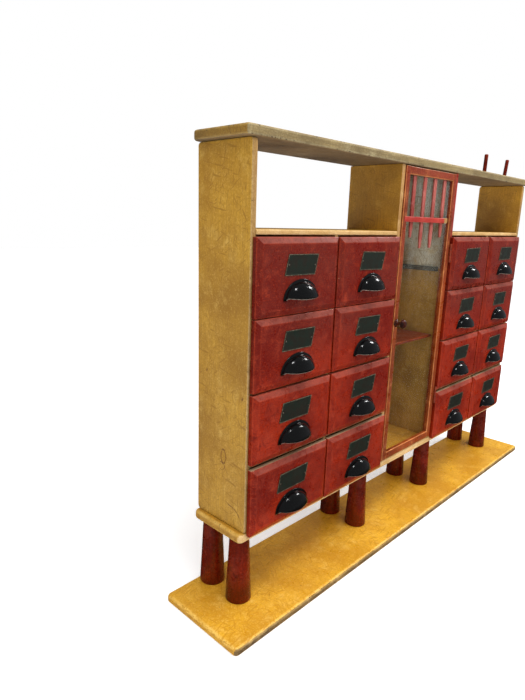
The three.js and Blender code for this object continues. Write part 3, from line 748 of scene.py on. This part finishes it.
BASE_CORNER = 10 * MM
BOTTOM_CORNER = 12 * MM
TOP_CORNERS = [6 * MM, 6 * MM, 16 * MM, 16 * MM]
SIDE_CORNER = 7 * MM
LEG_RIM = 2 * MM
LEG_TAPER = 0.732


def wide_board(node, paints, corners, low_round, high_round):
    """A long board. Its paints are for its top, its front edge and its underside."""
    low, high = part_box(node)
    plan = Plan(rectangle(low[:2], high[:2]), corners, steps=8)
    profile = eased(low[2], high[2], low_round, high_round, steps=6)
    piece = ring_solid(f"{node}_body", "z", plan, profile, paints, corner_wear=0.35)
    repaint(
        piece,
        (2, lambda face: face.normal.z < -0.75),
        (1, lambda face: face.normal.y < -0.45 and face.normal.z < 0.75),
    )
    settle(piece, "case", [node])


def add_base_and_boards():
    wide_board("base_board", [GOLDEN, BASE_EDGE, PINE_X], BASE_CORNER, 4 * MM, 7 * MM)
    wide_board("bottom_board", [BOTTOM_PAINT, CREAM_FRONT, PINE_X], BOTTOM_CORNER, 7 * MM, 7 * MM)
    wide_board("top_board", [TOP_PAINT, TOP_EDGE, TOP_UNDER], TOP_CORNERS, 5 * MM, 5 * MM)


def add_leg(node):
    """A turned cone, a touch uneven, with rounded rims."""
    low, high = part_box(node)
    foot = (high[0] - low[0]) / 2
    neck = foot * LEG_TAPER
    height = high[2] - low[2]
    profile = [
        (foot - 2 * LEG_RIM, 0.0, 0.0),
        (foot - LEG_RIM, 0.0, 0.2),
        (foot - LEG_RIM * 0.3, LEG_RIM * 0.3, 1.0),
        (foot - LEG_RIM * 0.05, LEG_RIM, 0.4),
        (foot - 0.4 * MM, LEG_RIM * 2.2, 0.0),
    ]
    for step in range(1, 8):
        share = step / 8
        profile.append((foot + (neck - foot) * share, height * share, 0.0))
    profile += [
        (neck + 0.4 * MM, height - 3 * LEG_RIM, 0.0),
        (neck, height - 0.6 * LEG_RIM, 0.3),
        (neck - LEG_RIM, height, 0.3),
    ]
    place = ((low[0] + high[0]) / 2, (low[1] + high[1]) / 2, low[2])
    leg = lathe(f"{node}_turned", profile, OXBLOOD, sides=56, at=place, wobble=0.004)
    settle(leg, "case", [node])


def add_sides():
    """Rounded panels whose front edges are rubbed to cream, and whose inner faces take a darker ochre:
    painted shade.
    """
    for name, inwards in (("side_panel_left", 1), ("side_panel_right", -1)):
        low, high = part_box(name)
        outline = Plan(rectangle(low[1:], high[1:]), SIDE_CORNER, steps=7)
        profile = eased(low[0], high[0], 3 * MM, 3 * MM)
        panel = ring_solid(f"{name}_board", "x", outline, profile, [OCHRE, SIDE_EDGE, OCHRE_PAINTED_SHADE])
        repaint(panel, (1, looks_forward), (2, lambda face: face.normal.x * inwards > 0.5))
        settle(panel, "case", [name])


def add_partitions():
    """Full depth beside the niche, and notched round the back board."""
    notch = BACK_FRONT - SEAT
    for name, to_bay, front in (("partition_left", 1, CREAM_EDGE), ("partition_right", -1, RED_UPRIGHT)):
        low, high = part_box(name)
        corners = [
            (CASE_FRONT, low[2]), (notch, low[2]), (notch, SHELF_UNDER), (CASE_BACK, SHELF_UNDER),
            (CASE_BACK, high[2]), (CASE_FRONT, high[2]),
        ]
        profile = eased(*partition_board(name), 1.2 * MM, 1.2 * MM)
        outline = Plan(corners, 1.2 * MM, steps=3)
        # Faces away from the bay keep the darker ochre of painted shade.
        panel = ring_solid(f"{name}_board", "x", outline, profile, [OCHRE_PAINTED_SHADE, front, BAY_WALL])
        repaint(panel, (1, looks_forward), (2, lambda face: face.normal.x * to_bay > 0.5))
        settle(panel, "case", [name])


# ---------------------------------------------------------------- racks, backs, shelf and pegs

PLANKS = 5
PLANK_GAP = 0.5 * MM
NAIL_RADIUS = 2.4 * MM
CLEAT_UNDER = CASE_FLOOR + 491 * MM
CLEAT_TOP = CLEAT_UNDER + 13 * MM
CLEAT_SETBACK = 25 * MM
PEG_RADIUS = 6 * MM
PEG_LENGTH = 77 * MM
PEG_LEANS = {"peg_inner": 2, "peg_outer": 10}


def add_rack(side):
    """One side's niche shelf, divider and runners, as the separate boards that they are."""
    low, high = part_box(f"drawer_rack_{side}")
    front, back = CASE_FRONT + 0.6 * MM, BACK_FRONT - SEAT
    middle = (low[0] + high[0]) / 2
    divider_left, divider_right = middle - DIVIDER_THICK / 2, middle + DIVIDER_THICK / 2
    shelf_low, shelf_high = (low[0], CASE_FRONT, SHELF_UNDER), (high[0], CASE_BACK, NICHE_FLOOR)
    shelf = board(f"niche_shelf_{side}", "z", shelf_low, shelf_high, OCHRE_SHELF, edge=2.2 * MM)
    shelf.data.materials.append(CREAM_FRONT)
    repaint(shelf, (1, looks_forward))
    settle(shelf, "case", [f"drawer_rack_{side}"])
    divider_low, divider_high = (divider_left, front, CASE_FLOOR), (divider_right, back, SHELF_UNDER)
    divider = board(f"divider_{side}", "x", divider_low, divider_high, PINE_Z, edge=1 * MM)
    settle(divider, "case")
    runners = []
    for row in range(ROWS - 1):
        top = SHELF_UNDER - (row + 1) * OPENING_HEIGHT - row * RUNNER_THICK
        for index, (left, right) in enumerate(((low[0], divider_left), (divider_right, high[0]))):
            name = f"runner_{side}_{row}_{index}"
            ends = (left, front, top - RUNNER_THICK), (right, back, top)
            runners.append(board(name, "z", *ends, PINE_X, edge=0.8 * MM))
    settle(join_pieces(runners, f"runners_{side}"), "case")


def nail_heads(name, places):
    """Small flat heads on the back, as one piece."""
    profile = [
        (NAIL_RADIUS * 0.6, -0.5 * MM, 0.0), (NAIL_RADIUS, -0.3 * MM, 0.0), (NAIL_RADIUS, 0.15 * MM, 0.4),
        (NAIL_RADIUS * 0.8, 0.4 * MM, 0.4), (NAIL_RADIUS * 0.3, 0.45 * MM, 0.1),
    ]
    heads = []
    for index, place in enumerate(places):
        heads.append(lathe(f"{name}_{index}", profile, PIN, sides=14, axis=BACKWARDS, at=place))
    return join_pieces(heads, name)


def add_back_boards():
    """Pine planks nailed over the drawers' backs, and one painted board behind the door bay."""
    low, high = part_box("back_board_lower")
    width = (high[2] - low[2]) / PLANKS
    planks = []
    for index in range(PLANKS):
        under = low[2] + index * width
        ends = (*low[:2], under + PLANK_GAP / 2), (*high[:2], under + width - PLANK_GAP / 2)
        planks.append(board(f"plank_{index}", "y", *ends, PINE_X, edge=1 * MM))
    settle(join_pieces(planks, "back_planks"), "case", ["back_board_lower"])
    bay_left, bay_right = span("partition_left", "x")[0], span("partition_right", "x")[1]
    columns = (low[0] + 8 * MM, bay_left + 6 * MM, bay_right - 6 * MM, high[0] - 8 * MM)
    places = []
    for index in range(PLANKS):
        for x in columns:
            for share in (0.22, 0.78):
                places.append((x, high[1], low[2] + (index + share) * width))
    settle(nail_heads("back_nails", places), "case")
    upper = board("back_board_top", "y", *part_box("back_board_upper"), BAY_WALL, edge=1 * MM)
    upper.data.materials.append(PINE_X)
    repaint(upper, (1, lambda face: face.normal.y > 0.3))
    settle(upper, "case", ["back_board_upper"])


def add_cleats_and_shelf():
    """The cleats of a second shelf that isn't fitted, and the shelf that is."""
    for side in ("left", "right"):
        low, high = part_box(f"partition_{side}")
        left, right = partition_board(f"partition_{side}")
        x = (right, high[0]) if side == "left" else (low[0], left)
        ends = (x[0], CASE_FRONT + CLEAT_SETBACK, CLEAT_UNDER), (x[1], BACK_FRONT - SEAT, CLEAT_TOP)
        settle(board(f"cleat_{side}", "z", *ends, DARK_CLEAT, edge=1.2 * MM), "case")
    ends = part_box("compartment_shelf")
    shelf = board("compartment_shelf_board", "z", *ends, SHELF_RED, edge=1.4 * MM)
    settle(shelf, "case", ["compartment_shelf"])


def add_pegs():
    """Dowels in drilled holes, leaning along the case, with eased tops."""
    for node, lean in PEG_LEANS.items():
        low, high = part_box(node)
        angle = math.radians(lean)
        axis = Vector((math.sin(angle), 0, math.cos(angle)))
        across, sunk = PEG_RADIUS * math.cos(angle), PEG_RADIUS * math.sin(angle)
        foot = Vector((low[0] + across, (low[1] + high[1]) / 2, low[2] + sunk))
        profile = [(PEG_RADIUS * 0.5, 0.0, 0.0), (PEG_RADIUS * 0.97, 0.0, 0.0)]
        for step in range(1, 8):
            uneven = 0.97 + 0.02 * math.sin(5 * step)
            profile.append((PEG_RADIUS * uneven, PEG_LENGTH * step / 8, 0.0))
        profile += [
            (PEG_RADIUS * 0.97, PEG_LENGTH - 2 * MM, 0.2), (PEG_RADIUS * 0.9, PEG_LENGTH - 0.7 * MM, 1.0),
            (PEG_RADIUS * 0.7, PEG_LENGTH, 0.6), (PEG_RADIUS * 0.3, PEG_LENGTH + 0.1 * MM, 0.2),
        ]
        peg = lathe(f"{node}_dowel", profile, OXBLOOD, sides=32, axis=axis, at=foot)
        settle(peg, "case", [node])


# ---------------------------------------------------------------- drawers

DRAWER_SEED = 11
FRONT_BACK = CASE_FRONT - SEAT
CHAMFER_WIDTH = 12 * MM
CHAMFER_DEPTH = 6 * MM
TRAY_WALL = 7 * MM
TRAY_FLOOR = 4 * MM
TRAY_GAP = 3 * MM
TRAY_HEADROOM = 12 * MM
LABEL_HALF = (44 * MM, 20 * MM)
LABEL_THICK = 1.6 * MM
LABEL_RISE = 22 * MM
LABEL_LEAN = 5 * MM
LABEL_TILT = 1.6
LABEL_PIN_INSET = 5.5 * MM
PULL_HALF = 46 * MM
PULL_MOUTH = 6 * MM
PULL_BELLY = 0.5
PULL_REACH = 24 * MM
PULL_WALL = 2.2 * MM
PULL_RIM = 5 * MM
CUP_ALONG = 36
CUP_ROUND = 14
CUP_START, CUP_SWEEP = 0.015, 0.97
CUP_FULLNESS = 0.9
CUP_LIP = 1.1 * MM
CUP_LIP_DROP = 0.9 * MM


def chamfered_front(name, low, high, face, chance, bare_top):
    """A panel with wide chamfers, whose edges were planed by hand and so are never quite straight."""
    corners = [
        (u + chance.uniform(-0.5, 0.5) * MM, v + chance.uniform(-0.5, 0.5) * MM)
        for u, v in rectangle((low[0], low[2]), (high[0], high[2]))
    ]
    edge = face + CHAMFER_DEPTH
    width = CHAMFER_WIDTH
    profile = [
        (3 * MM, FRONT_BACK, 0.0), (0.6 * MM, FRONT_BACK, 0.0), (0.15 * MM, FRONT_BACK - 0.2 * MM, 0.5),
        (0.0, FRONT_BACK - 0.7 * MM, 0.0), (0.0, edge + 1.4 * MM, 0.0), (0.0, edge + 0.7 * MM, 0.3),
        (0.2 * MM, edge + 0.1 * MM, 1.0), (0.8 * MM, edge - 0.5 * MM, 1.0), (1.8 * MM, edge - 1.0 * MM, 0.15),
        (width * 0.5, face + CHAMFER_DEPTH * 0.5, 0.0), (width - 1.6 * MM, face + 0.8 * MM, 0.1),
        (width - 0.5 * MM, face + 0.3 * MM, 0.35), (width + 0.5 * MM, face + 0.06 * MM, 0.4),
        (width + 1.6 * MM, face, 0.2), (width + 4 * MM, face, 0.0),
    ]
    panel = ring_solid(name, "y", Plan(corners, 1.3 * MM, steps=4), profile, [RED, FRONT_TOP])
    if bare_top:
        repaint(panel, (1, lambda side: side.normal.z > 0.9))
    return panel


def tray_boards(name, low, high):
    """The box behind a front: two sides, a back, a lining behind the front, and a thin floor."""
    left, right = low[0] + TRAY_WALL, high[0] - TRAY_WALL
    lining, back = low[1] + TRAY_WALL, high[1] - TRAY_WALL
    parts = (
        ("", "x", low, (left, high[1], high[2]), PINE_Y, 1 * MM),
        ("_r", "x", (right, low[1], low[2]), high, PINE_Y, 1 * MM),
        ("_b", "y", (left, back, low[2]), (right, high[1], high[2] - 2 * MM), PINE_X, 1 * MM),
        ("_f", "y", (left, low[1], low[2]), (right, lining, high[2]), PINE_X, 1 * MM),
        ("_g", "z", (left, lining, low[2]), (right, back, low[2] + TRAY_FLOOR), PINE_Y, 0.6 * MM),
    )
    return join_pieces([board(f"{name}{part[0]}", *part[1:]) for part in parts], name)


def label_plate(name, centre, face, tilt, chance):
    """A tin plate, rolled a little at its edges and turned a little, with a pin at each end."""
    half = LABEL_HALF
    corners = [
        (-half[0] - LABEL_LEAN, -half[1]), (half[0] - LABEL_LEAN, -half[1]),
        (half[0] + LABEL_LEAN, half[1]), (LABEL_LEAN - half[0], half[1]),
    ]
    front = -LABEL_THICK
    profile = [
        (1 * MM, 0.4 * MM, 0.0), (0.0, 0.3 * MM, 0.0), (0.0, front + 0.5 * MM, 0.6),
        (0.25 * MM, front + 0.1 * MM, 1.0), (0.9 * MM, front, 1.0), (1.5 * MM, front + 0.35 * MM, 0.5),
        (2.0 * MM, front + 0.45 * MM, 0.0), (5 * MM, front + 0.45 * MM, 0.0),
    ]
    parts = [ring_solid(name, "y", Plan(corners, 1.2 * MM, steps=4), profile, [LABEL])]
    head = dome_head(1.7 * MM, 1.0 * MM, 0.2 * MM)
    for side in (-1, 1):
        at = (side * (half[0] - LABEL_PIN_INSET), front + 0.45 * MM, chance.uniform(-1, 1) * MM)
        parts.append(lathe(f"{name}_pin{side}", head, PIN, sides=16, axis=FORWARDS, at=at))
    plate = join_pieces(parts, name)
    turn = Matrix.Rotation(math.radians(tilt), 4, "Y")
    plate.data.transform(Matrix.Translation((centre[0], face, centre[1])) @ turn)
    return plate


def cup_sheet(builder, foot, rise, inset):
    """One skin of a cup, as rows of vertices from its mouth to its crown. The outer one has a lip."""
    sheet = []
    for along in range(CUP_ALONG + 1):
        a = math.pi * (CUP_START + CUP_SWEEP * along / CUP_ALONG)
        girth = math.sin(a) ** CUP_FULLNESS
        lift = PULL_MOUTH * min(1.0, 3 * math.sin(a)) * (1 - PULL_BELLY * math.sin(a) ** 2)
        start = math.asin(min(0.9, lift / (rise * girth)))
        row = []
        for turn in range(CUP_ROUND + 1):
            b = start + (math.pi / 2 - start) * turn / CUP_ROUND
            bulge = 0.0 if inset else CUP_LIP * max(0.0, 1 - 3.2 * turn / CUP_ROUND)
            x = (PULL_HALF - inset) * math.cos(a)
            y = -(PULL_REACH - inset + bulge) * girth * math.cos(b)
            z = (rise - inset + bulge * 0.3) * girth * math.sin(b)
            place = (foot[0] + x, foot[1] + y, foot[2] + z)
            row.append(add_vertex(builder, place, 0.0 if turn else 0.8))
        sheet.append(row)
    return sheet


def cup_shell(name, foot, rise):
    """The cup's thick shell, with a rolled lip between its two skins."""
    builder = worn_mesh()
    outer, inner = (cup_sheet(builder, foot, rise, inset) for inset in (0.0, PULL_WALL))
    lip = []
    for out, back in zip(outer, inner):
        middle = (out[0].co + back[0].co) / 2
        lip.append(add_vertex(builder, middle - Vector((0, 0, CUP_LIP_DROP)), 1.0))
    for along in range(CUP_ALONG):
        after = along + 1
        for turn in range(CUP_ROUND):
            for sheet in (outer, inner):
                near, far = sheet[along], sheet[after]
                builder.faces.new((near[turn], near[turn + 1], far[turn + 1], far[turn]))
        builder.faces.new((outer[along][0], lip[along], lip[after], outer[after][0]))
        builder.faces.new((lip[along], inner[along][0], inner[after][0], lip[after]))
        builder.faces.new((outer[along][-1], outer[after][-1], inner[after][-1], inner[along][-1]))
    for end in (0, CUP_ALONG):
        out, back = outer[end], inner[end]
        for turn in range(CUP_ROUND):
            builder.faces.new((out[turn], out[turn + 1], back[turn + 1], back[turn]))
        builder.faces.new((out[0], lip[end], back[0]))
    return to_object(name, builder, [ENAMEL])


def cup_pull(name, low, high):
    """A cast cup on a crescent flange."""
    foot = ((low[0] + high[0]) / 2, high[1], low[2])
    rise = high[2] - low[2] - PULL_RIM
    rim = PULL_RIM
    section = [
        (-2.5 * MM, 0.0, 0.0), (rim - 0.5 * MM, 0.0, 0.0), (rim, -0.5 * MM, 0.2),
        (rim - 0.1 * MM, -1.3 * MM, 0.6), (rim - 0.9 * MM, -1.9 * MM, 0.4), (rim - 2.2 * MM, -2.1 * MM, 0.1),
        (0.8 * MM, -2.2 * MM, 0.0), (-1.4 * MM, -3.6 * MM, 0.0),
    ]
    rings = []
    for along in range(CUP_ALONG + 1):
        angle = math.pi * along / CUP_ALONG
        ring = []
        for out, depth, wear in section:
            x, z = (PULL_HALF + out) * math.cos(angle), (rise + out) * math.sin(angle)
            ring.append(((foot[0] + x, foot[1] + depth, foot[2] + z), wear))
        rings.append(ring)
    shell = cup_shell(name, foot, rise)
    return join_pieces([shell, ring_stack(f"{name}_flange", rings, [ENAMEL])], name)


def add_drawer(column, row, chance):
    """A front, a tray, a label and a pull, each a little different from the other drawers'."""
    rack_low, rack_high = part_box("drawer_rack_left" if column < 3 else "drawer_rack_right")
    middle = (rack_low[0] + rack_high[0]) / 2
    half = DIVIDER_THICK / 2
    if column in (1, 3):
        left, right = rack_low[0] - SEAT, middle - half
    else:
        left, right = middle + half, rack_high[0] + SEAT
    place = f"{column}_{row}"
    body = f"drawer_{place}"
    low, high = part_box(body)
    face = low[1] + LABEL_THICK
    front = chamfered_front(f"drawer_front_{place}", low, high, face, chance, row == ROWS)
    settle(front, body, [body])
    top = SHELF_UNDER - (row - 1) * (OPENING_HEIGHT + RUNNER_THICK)
    tray_low = (left + TRAY_GAP, FRONT_BACK, top - OPENING_HEIGHT + SEAT)
    tray_high = (right - TRAY_GAP, BACK_FRONT - TRAY_GAP, top - TRAY_HEADROOM)
    settle(tray_boards(f"drawer_tray_{place}", tray_low, tray_high), body)
    centre = ((low[0] + high[0]) / 2, (low[2] + high[2]) / 2 + LABEL_RISE)
    tilt = chance.uniform(-LABEL_TILT, LABEL_TILT)
    settle(label_plate(f"label_{place}", centre, face, tilt, chance), body)
    pull = cup_pull(f"pull_{place}", *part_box(f"cup_pull_{place}"))
    settle(pull, body, [f"cup_pull_{place}"])


# ---------------------------------------------------------------- door

STILE = 19 * MM
TOP_RAIL = 18.5 * MM
BOTTOM_RAIL = 20 * MM
GLASS_LAP = 5 * MM
DOOR_LOW, DOOR_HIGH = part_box("door_frame")
SIGHT_X = (DOOR_LOW[0] + STILE, DOOR_HIGH[0] - STILE)
SIGHT_Z = (DOOR_LOW[2] + BOTTOM_RAIL, DOOR_HIGH[2] - TOP_RAIL)
REBATE = span("door_glass", "y")[0] - SEAT
BAR_PITCH = 52 * MM
BAR_WIDTH = 14 * MM
BAR_THICK = 4 * MM
BAR_TIP_WIDTH, BAR_TIP_LENGTH = 7 * MM, 26 * MM
BAR_LENGTHS = (147 * MM, 174 * MM, 174 * MM, 147 * MM)
CROSS_DROP = 103.5 * MM
CROSS_HALF = 6.5 * MM
CREAM_END = 17 * MM

# The knob's outline in millimetres: radius and distance from the door.
KNOB_FOOT = (
    (6, 0), (9.8, 0), (10.6, 1), (10, 2.6), (7, 4), (4.4, 6.4), (3.8, 9.6), (4.4, 13), (7.2, 15.4),
    (10.4, 16.8), (11.8, 18.6),
)
KNOB_WIDEST = 20.6
KNOB_CROWN = ((11.5, 22.6), (9.8, 24.8), (7, 26.8), (3.6, 27.8))
KNUCKLE = 3 * MM
HINGE_PIN = 1.4 * MM


def frame_member(name, axis, edge, inside, lap, ends):
    """A stile or a rail, with a rebate behind its inner edge for the glass."""
    front, back = DOOR_LOW[1], DOOR_HIGH[1]
    corners = [
        (edge, front), (inside, front), (inside, REBATE), (inside + lap, REBATE), (inside + lap, back),
        (edge, back),
    ]
    if edge > inside:
        corners.reverse()
    radii = [2 * MM if depth == front else 0.5 * MM for _, depth in corners]
    if axis == "x":
        corners = [(depth, across) for across, depth in corners]
    return ring_solid(f"door_{name}", axis, Plan(corners, radii, steps=4), eased(*ends), [DOOR_RED])


def add_door_frame():
    """Stiles the full height, and rails between them."""
    stile = (DOOR_LOW[2], DOOR_HIGH[2], 1 * MM, 1 * MM)
    rail = (SIGHT_X[0] + 0.1 * MM, SIGHT_X[1] - 0.1 * MM, 0.3 * MM, 0.3 * MM)
    left = frame_member("stile_left", "z", DOOR_LOW[0], SIGHT_X[0], -GLASS_LAP, stile)
    settle(left, "door", ["door_frame"])
    for member in (
        ("stile_right", "z", DOOR_HIGH[0], SIGHT_X[1], GLASS_LAP, stile),
        ("rail_bottom", "x", DOOR_LOW[2], SIGHT_Z[0], -GLASS_LAP, rail),
        ("rail_top", "x", DOOR_HIGH[2], SIGHT_Z[1], GLASS_LAP, rail),
    ):
        settle(frame_member(*member), "door")


def add_door_glass():
    low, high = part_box("door_glass")
    outline = Plan(rectangle((low[0], low[2]), (high[0], high[2])), 0.5 * MM, steps=3)
    pane = ring_solid("door_pane", "y", outline, eased(low[1], high[1], 0.3 * MM, 0.3 * MM), [GLASS])
    settle(pane, "door", ["door_glass"])


def add_hanging_bars():
    """Four pointed bars that hang behind the cross bar."""
    centre = (SIGHT_X[0] + SIGHT_X[1]) / 2
    top = SIGHT_Z[1] - SEAT
    half, tip = BAR_WIDTH / 2, BAR_TIP_WIDTH / 2
    radii = [0.3 * MM, 3 * MM, 2 * MM, 2 * MM, 3 * MM, 0.3 * MM]
    profile = eased(REBATE, REBATE - BAR_THICK, 0.3 * MM, 1.2 * MM)
    for index, length in enumerate(BAR_LENGTHS):
        x = centre + (index - 1.5) * BAR_PITCH
        bottom = top - length
        corners = [
            (x - half, top), (x - half, bottom + BAR_TIP_LENGTH), (x - tip, bottom), (x + tip, bottom),
            (x + half, bottom + BAR_TIP_LENGTH), (x + half, top),
        ]
        bar = ring_solid(f"hanging_bar_{index + 1}", "y", Plan(corners, radii, steps=4), profile, [BAR_RED])
        settle(bar, "door", () if index else ["glazing_bars"])


def add_cross_bar():
    """The bar in front of the hanging ones, whose right end was never painted red."""
    low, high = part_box("glazing_bars")
    middle = SIGHT_Z[1] - CROSS_DROP
    section = rectangle((low[1], middle - CROSS_HALF), (REBATE - BAR_THICK, middle + CROSS_HALF))
    profile = eased(low[0], high[0], 0.8 * MM, 0.8 * MM)
    change = high[0] - CREAM_END
    at = next(i for i, (_, height, _) in enumerate(profile) if height > change)
    profile[at:at] = [(0.0, change - 1 * MM, 0.0), (0.0, change, 0.0)]
    plan = Plan(section, 1.6 * MM, steps=4)
    bar = ring_solid("cross_bar", "x", plan, profile, [CROSS_RED, CREAM_EDGE])
    repaint(bar, (1, lambda face: face.center.x > change))
    settle(bar, "door")


def add_knob():
    low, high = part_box("door_knob")
    profile = [(radius * MM, out * MM, 0.0) for radius, out in KNOB_FOOT]
    profile.append(((high[0] - low[0]) / 2, KNOB_WIDEST * MM, 0.0))
    profile += [(radius * MM, out * MM, 0.0) for radius, out in KNOB_CROWN]
    profile.append((1 * MM, high[1] - low[1], 0.0))
    place = ((low[0] + high[0]) / 2, high[1], (low[2] + high[2]) / 2)
    knob = lathe("turned_knob", profile, WALNUT, axis=FORWARDS, at=place)
    smooth = knob.modifiers.new("smooth", "SUBSURF")
    smooth.levels = smooth.render_levels = 1
    settle(knob, "door", ["door_knob"])


def add_hinge(node):
    """A butt hinge: the case's leaf with two knuckles and the pin, and the door's leaf with one."""
    low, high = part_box(node)
    centre = Vector((low[0] + KNUCKLE, low[1] + KNUCKLE, (low[2] + high[2]) / 2))
    third = (high[2] - low[2]) / 6
    half = (high[2] - low[2]) / 2
    inner = third - 0.4 * MM

    def leaf(name, start, end, edge):
        ends = (centre.x + start, centre.y + 1 * MM, low[2]), (centre.x + end, high[1], high[2])
        return board(name, "x", *ends, HINGE_PAINT, edge=edge, corner=1 * MM)

    profile = [
        (KNUCKLE * 0.5, -half, 0.0), (KNUCKLE * 0.85, -half, 0.3), (KNUCKLE, -half + 0.5 * MM, 0.2),
        (KNUCKLE, -third - 0.3 * MM, 0.0), (KNUCKLE * 0.9, -third, 0.4), (HINGE_PIN, -third, 0.0),
        (HINGE_PIN, third, 0.0), (KNUCKLE * 0.9, third, 0.4), (KNUCKLE, third + 0.3 * MM, 0.0),
        (KNUCKLE, half - 0.5 * MM, 0.2), (KNUCKLE * 0.85, half, 0.3), (KNUCKLE * 0.5, half, 0.0),
    ]
    barrel = lathe(f"{node}_case_half", profile, HINGE_PAINT, sides=28, at=centre)
    fixed = leaf(f"{node}_leaf", -0.1 * MM, 0.7 * MM, 0.25 * MM)
    settle(join_pieces([barrel, fixed], f"{node}_case_half"), "case", [node])
    profile = [
        (KNUCKLE * 0.9, -inner, 0.4), (KNUCKLE, -inner + 0.3 * MM, 0.0), (KNUCKLE, inner - 0.3 * MM, 0.0),
        (KNUCKLE * 0.9, inner, 0.4),
    ]
    barrel = lathe(f"{node}_door_half", profile, HINGE_PAINT, sides=28, at=centre)
    moving = leaf(f"{node}_moving", -0.9 * MM, -0.3 * MM, 0.2 * MM)
    settle(join_pieces([barrel, moving], f"{node}_door_half"), "door")


# ---------------------------------------------------------------- studio

WHITE = (1.0, 1.0, 1.0, 1.0)
FLOOR_REACH = 12.0
FLOOR_GLOW = 0.24
ROOM_DARK_BELOW = (-0.3, -0.04)
ROOM_LOW = (0.02, 0.012, 0.005, 1.0)
ROOM_HIGH = (0.16, 0.165, 0.175, 1.0)
SKY_POWER = 2.8
SKY_TURN = (15, -13, 0)
SKY_SOFTNESS = 70

# Each lamp has its name, place, aim, size, power, and whether glossy surfaces mirror it.
LAMPS = (
    ("key", (1.2, -1.8, 1.8), (0.3, 0.0, 0.5), (1.2, 1.0), 17, False),
    ("window_left", (-0.4, -1.3, 3.3), (-0.2, 0.0, 0.6), (0.25, 0.5), 11, True),
    ("window_right", (2.3, -0.8, 2.2), (0.0, 0.0, 0.6), (0.3, 0.5), 11, True),
    ("ceiling", (0.2, -0.9, 3.0), (0.0, 0.0, 0.4), (3.0, 1.2), 30, False),
)


def add_floor():
    """A wide white floor that glows a little, so that it stays white in soft light."""
    shade = Shade("floor")
    tone = shade.mix(shade.noise(2.0), srgb(250, 250, 250), srgb(253, 253, 253))
    shade.finish(tone, 0.9, emission_color=WHITE, emission_strength=FLOOR_GLOW)
    corners = rectangle((-FLOOR_REACH, -FLOOR_REACH), (FLOOR_REACH, FLOOR_REACH))
    mesh = bpy.data.meshes.new("floor")
    mesh.from_pydata([(x, y, 0.0) for x, y in corners], [], [(0, 1, 2, 3)])
    mesh.materials.append(shade.material)
    floor = put_in_scene(bpy.data.objects.new("floor", mesh))
    floor.visible_glossy = False


def add_room():
    """White to the camera, and to everything else a dim room that darkens towards its floor."""
    world = bpy.data.worlds.new("studio")
    world.use_nodes = True
    tree = world.node_tree
    backdrop = tree.nodes["Background"]
    backdrop.inputs["Color"].default_value = WHITE
    way = add_node(tree, "ShaderNodeTexCoord", {}).outputs["Generated"]
    up = add_node(tree, "ShaderNodeSeparateXYZ", {0: way}).outputs["Z"]
    feeds = {"Value": up, "From Min": ROOM_DARK_BELOW[0], "From Max": ROOM_DARK_BELOW[1]}
    height = add_node(tree, "ShaderNodeMapRange", feeds).outputs["Result"]
    feeds = {0: height, MIX_A: ROOM_LOW, MIX_B: ROOM_HIGH}
    tone = add_node(tree, "ShaderNodeMix", feeds, data_type="RGBA").outputs[2]
    room = add_node(tree, "ShaderNodeBackground", {"Color": tone}).outputs[0]
    seen = add_node(tree, "ShaderNodeLightPath", {}).outputs["Is Camera Ray"]
    both = add_node(tree, "ShaderNodeMixShader", {0: seen, 1: room, 2: backdrop.outputs[0]})
    tree.links.new(both.outputs[0], tree.nodes["World Output"].inputs["Surface"])
    bpy.context.scene.world = world


def add_lamp(name, place, aim, size, power, mirrored):
    data = bpy.data.lights.new(name, "AREA")
    data.shape = "RECTANGLE"
    data.size, data.size_y = size
    data.energy = power
    lamp = put_in_scene(bpy.data.objects.new(name, data))
    lamp.location = place
    lamp.rotation_euler = (Vector(aim) - Vector(place)).to_track_quat("-Z", "Y").to_euler()
    lamp.visible_glossy = mirrored


def add_sky():
    """A very soft sun from high up, which leans a little, so that the whole floor is evenly lit."""
    data = bpy.data.lights.new("sky", "SUN")
    data.energy = SKY_POWER
    data.angle = math.radians(SKY_SOFTNESS)
    sky = put_in_scene(bpy.data.objects.new("sky", data))
    sky.rotation_euler = [math.radians(angle) for angle in SKY_TURN]
    sky.visible_glossy = False


# ---------------------------------------------------------------- the whole cabinet

add_camera()
add_base_and_boards()
for side in ("front", "back"):
    for index in range(1, 5):
        add_leg(f"leg_{side}_{index}")
add_sides()
add_partitions()
add_rack("left")
add_rack("right")
add_back_boards()
add_cleats_and_shelf()
add_pegs()
chance = random.Random(DRAWER_SEED)
for column in range(1, 5):
    for row in range(1, ROWS + 1):
        add_drawer(column, row, chance)
add_door_frame()
add_door_glass()
add_hanging_bars()
add_cross_bar()
add_knob()
add_hinge("hinge_lower")
add_hinge("hinge_upper")
add_floor()
add_room()
for lamp in LAMPS:
    add_lamp(*lamp)
add_sky()
bpy.context.scene.view_settings.view_transform = "Standard"

bpy.context.view_layer.update()
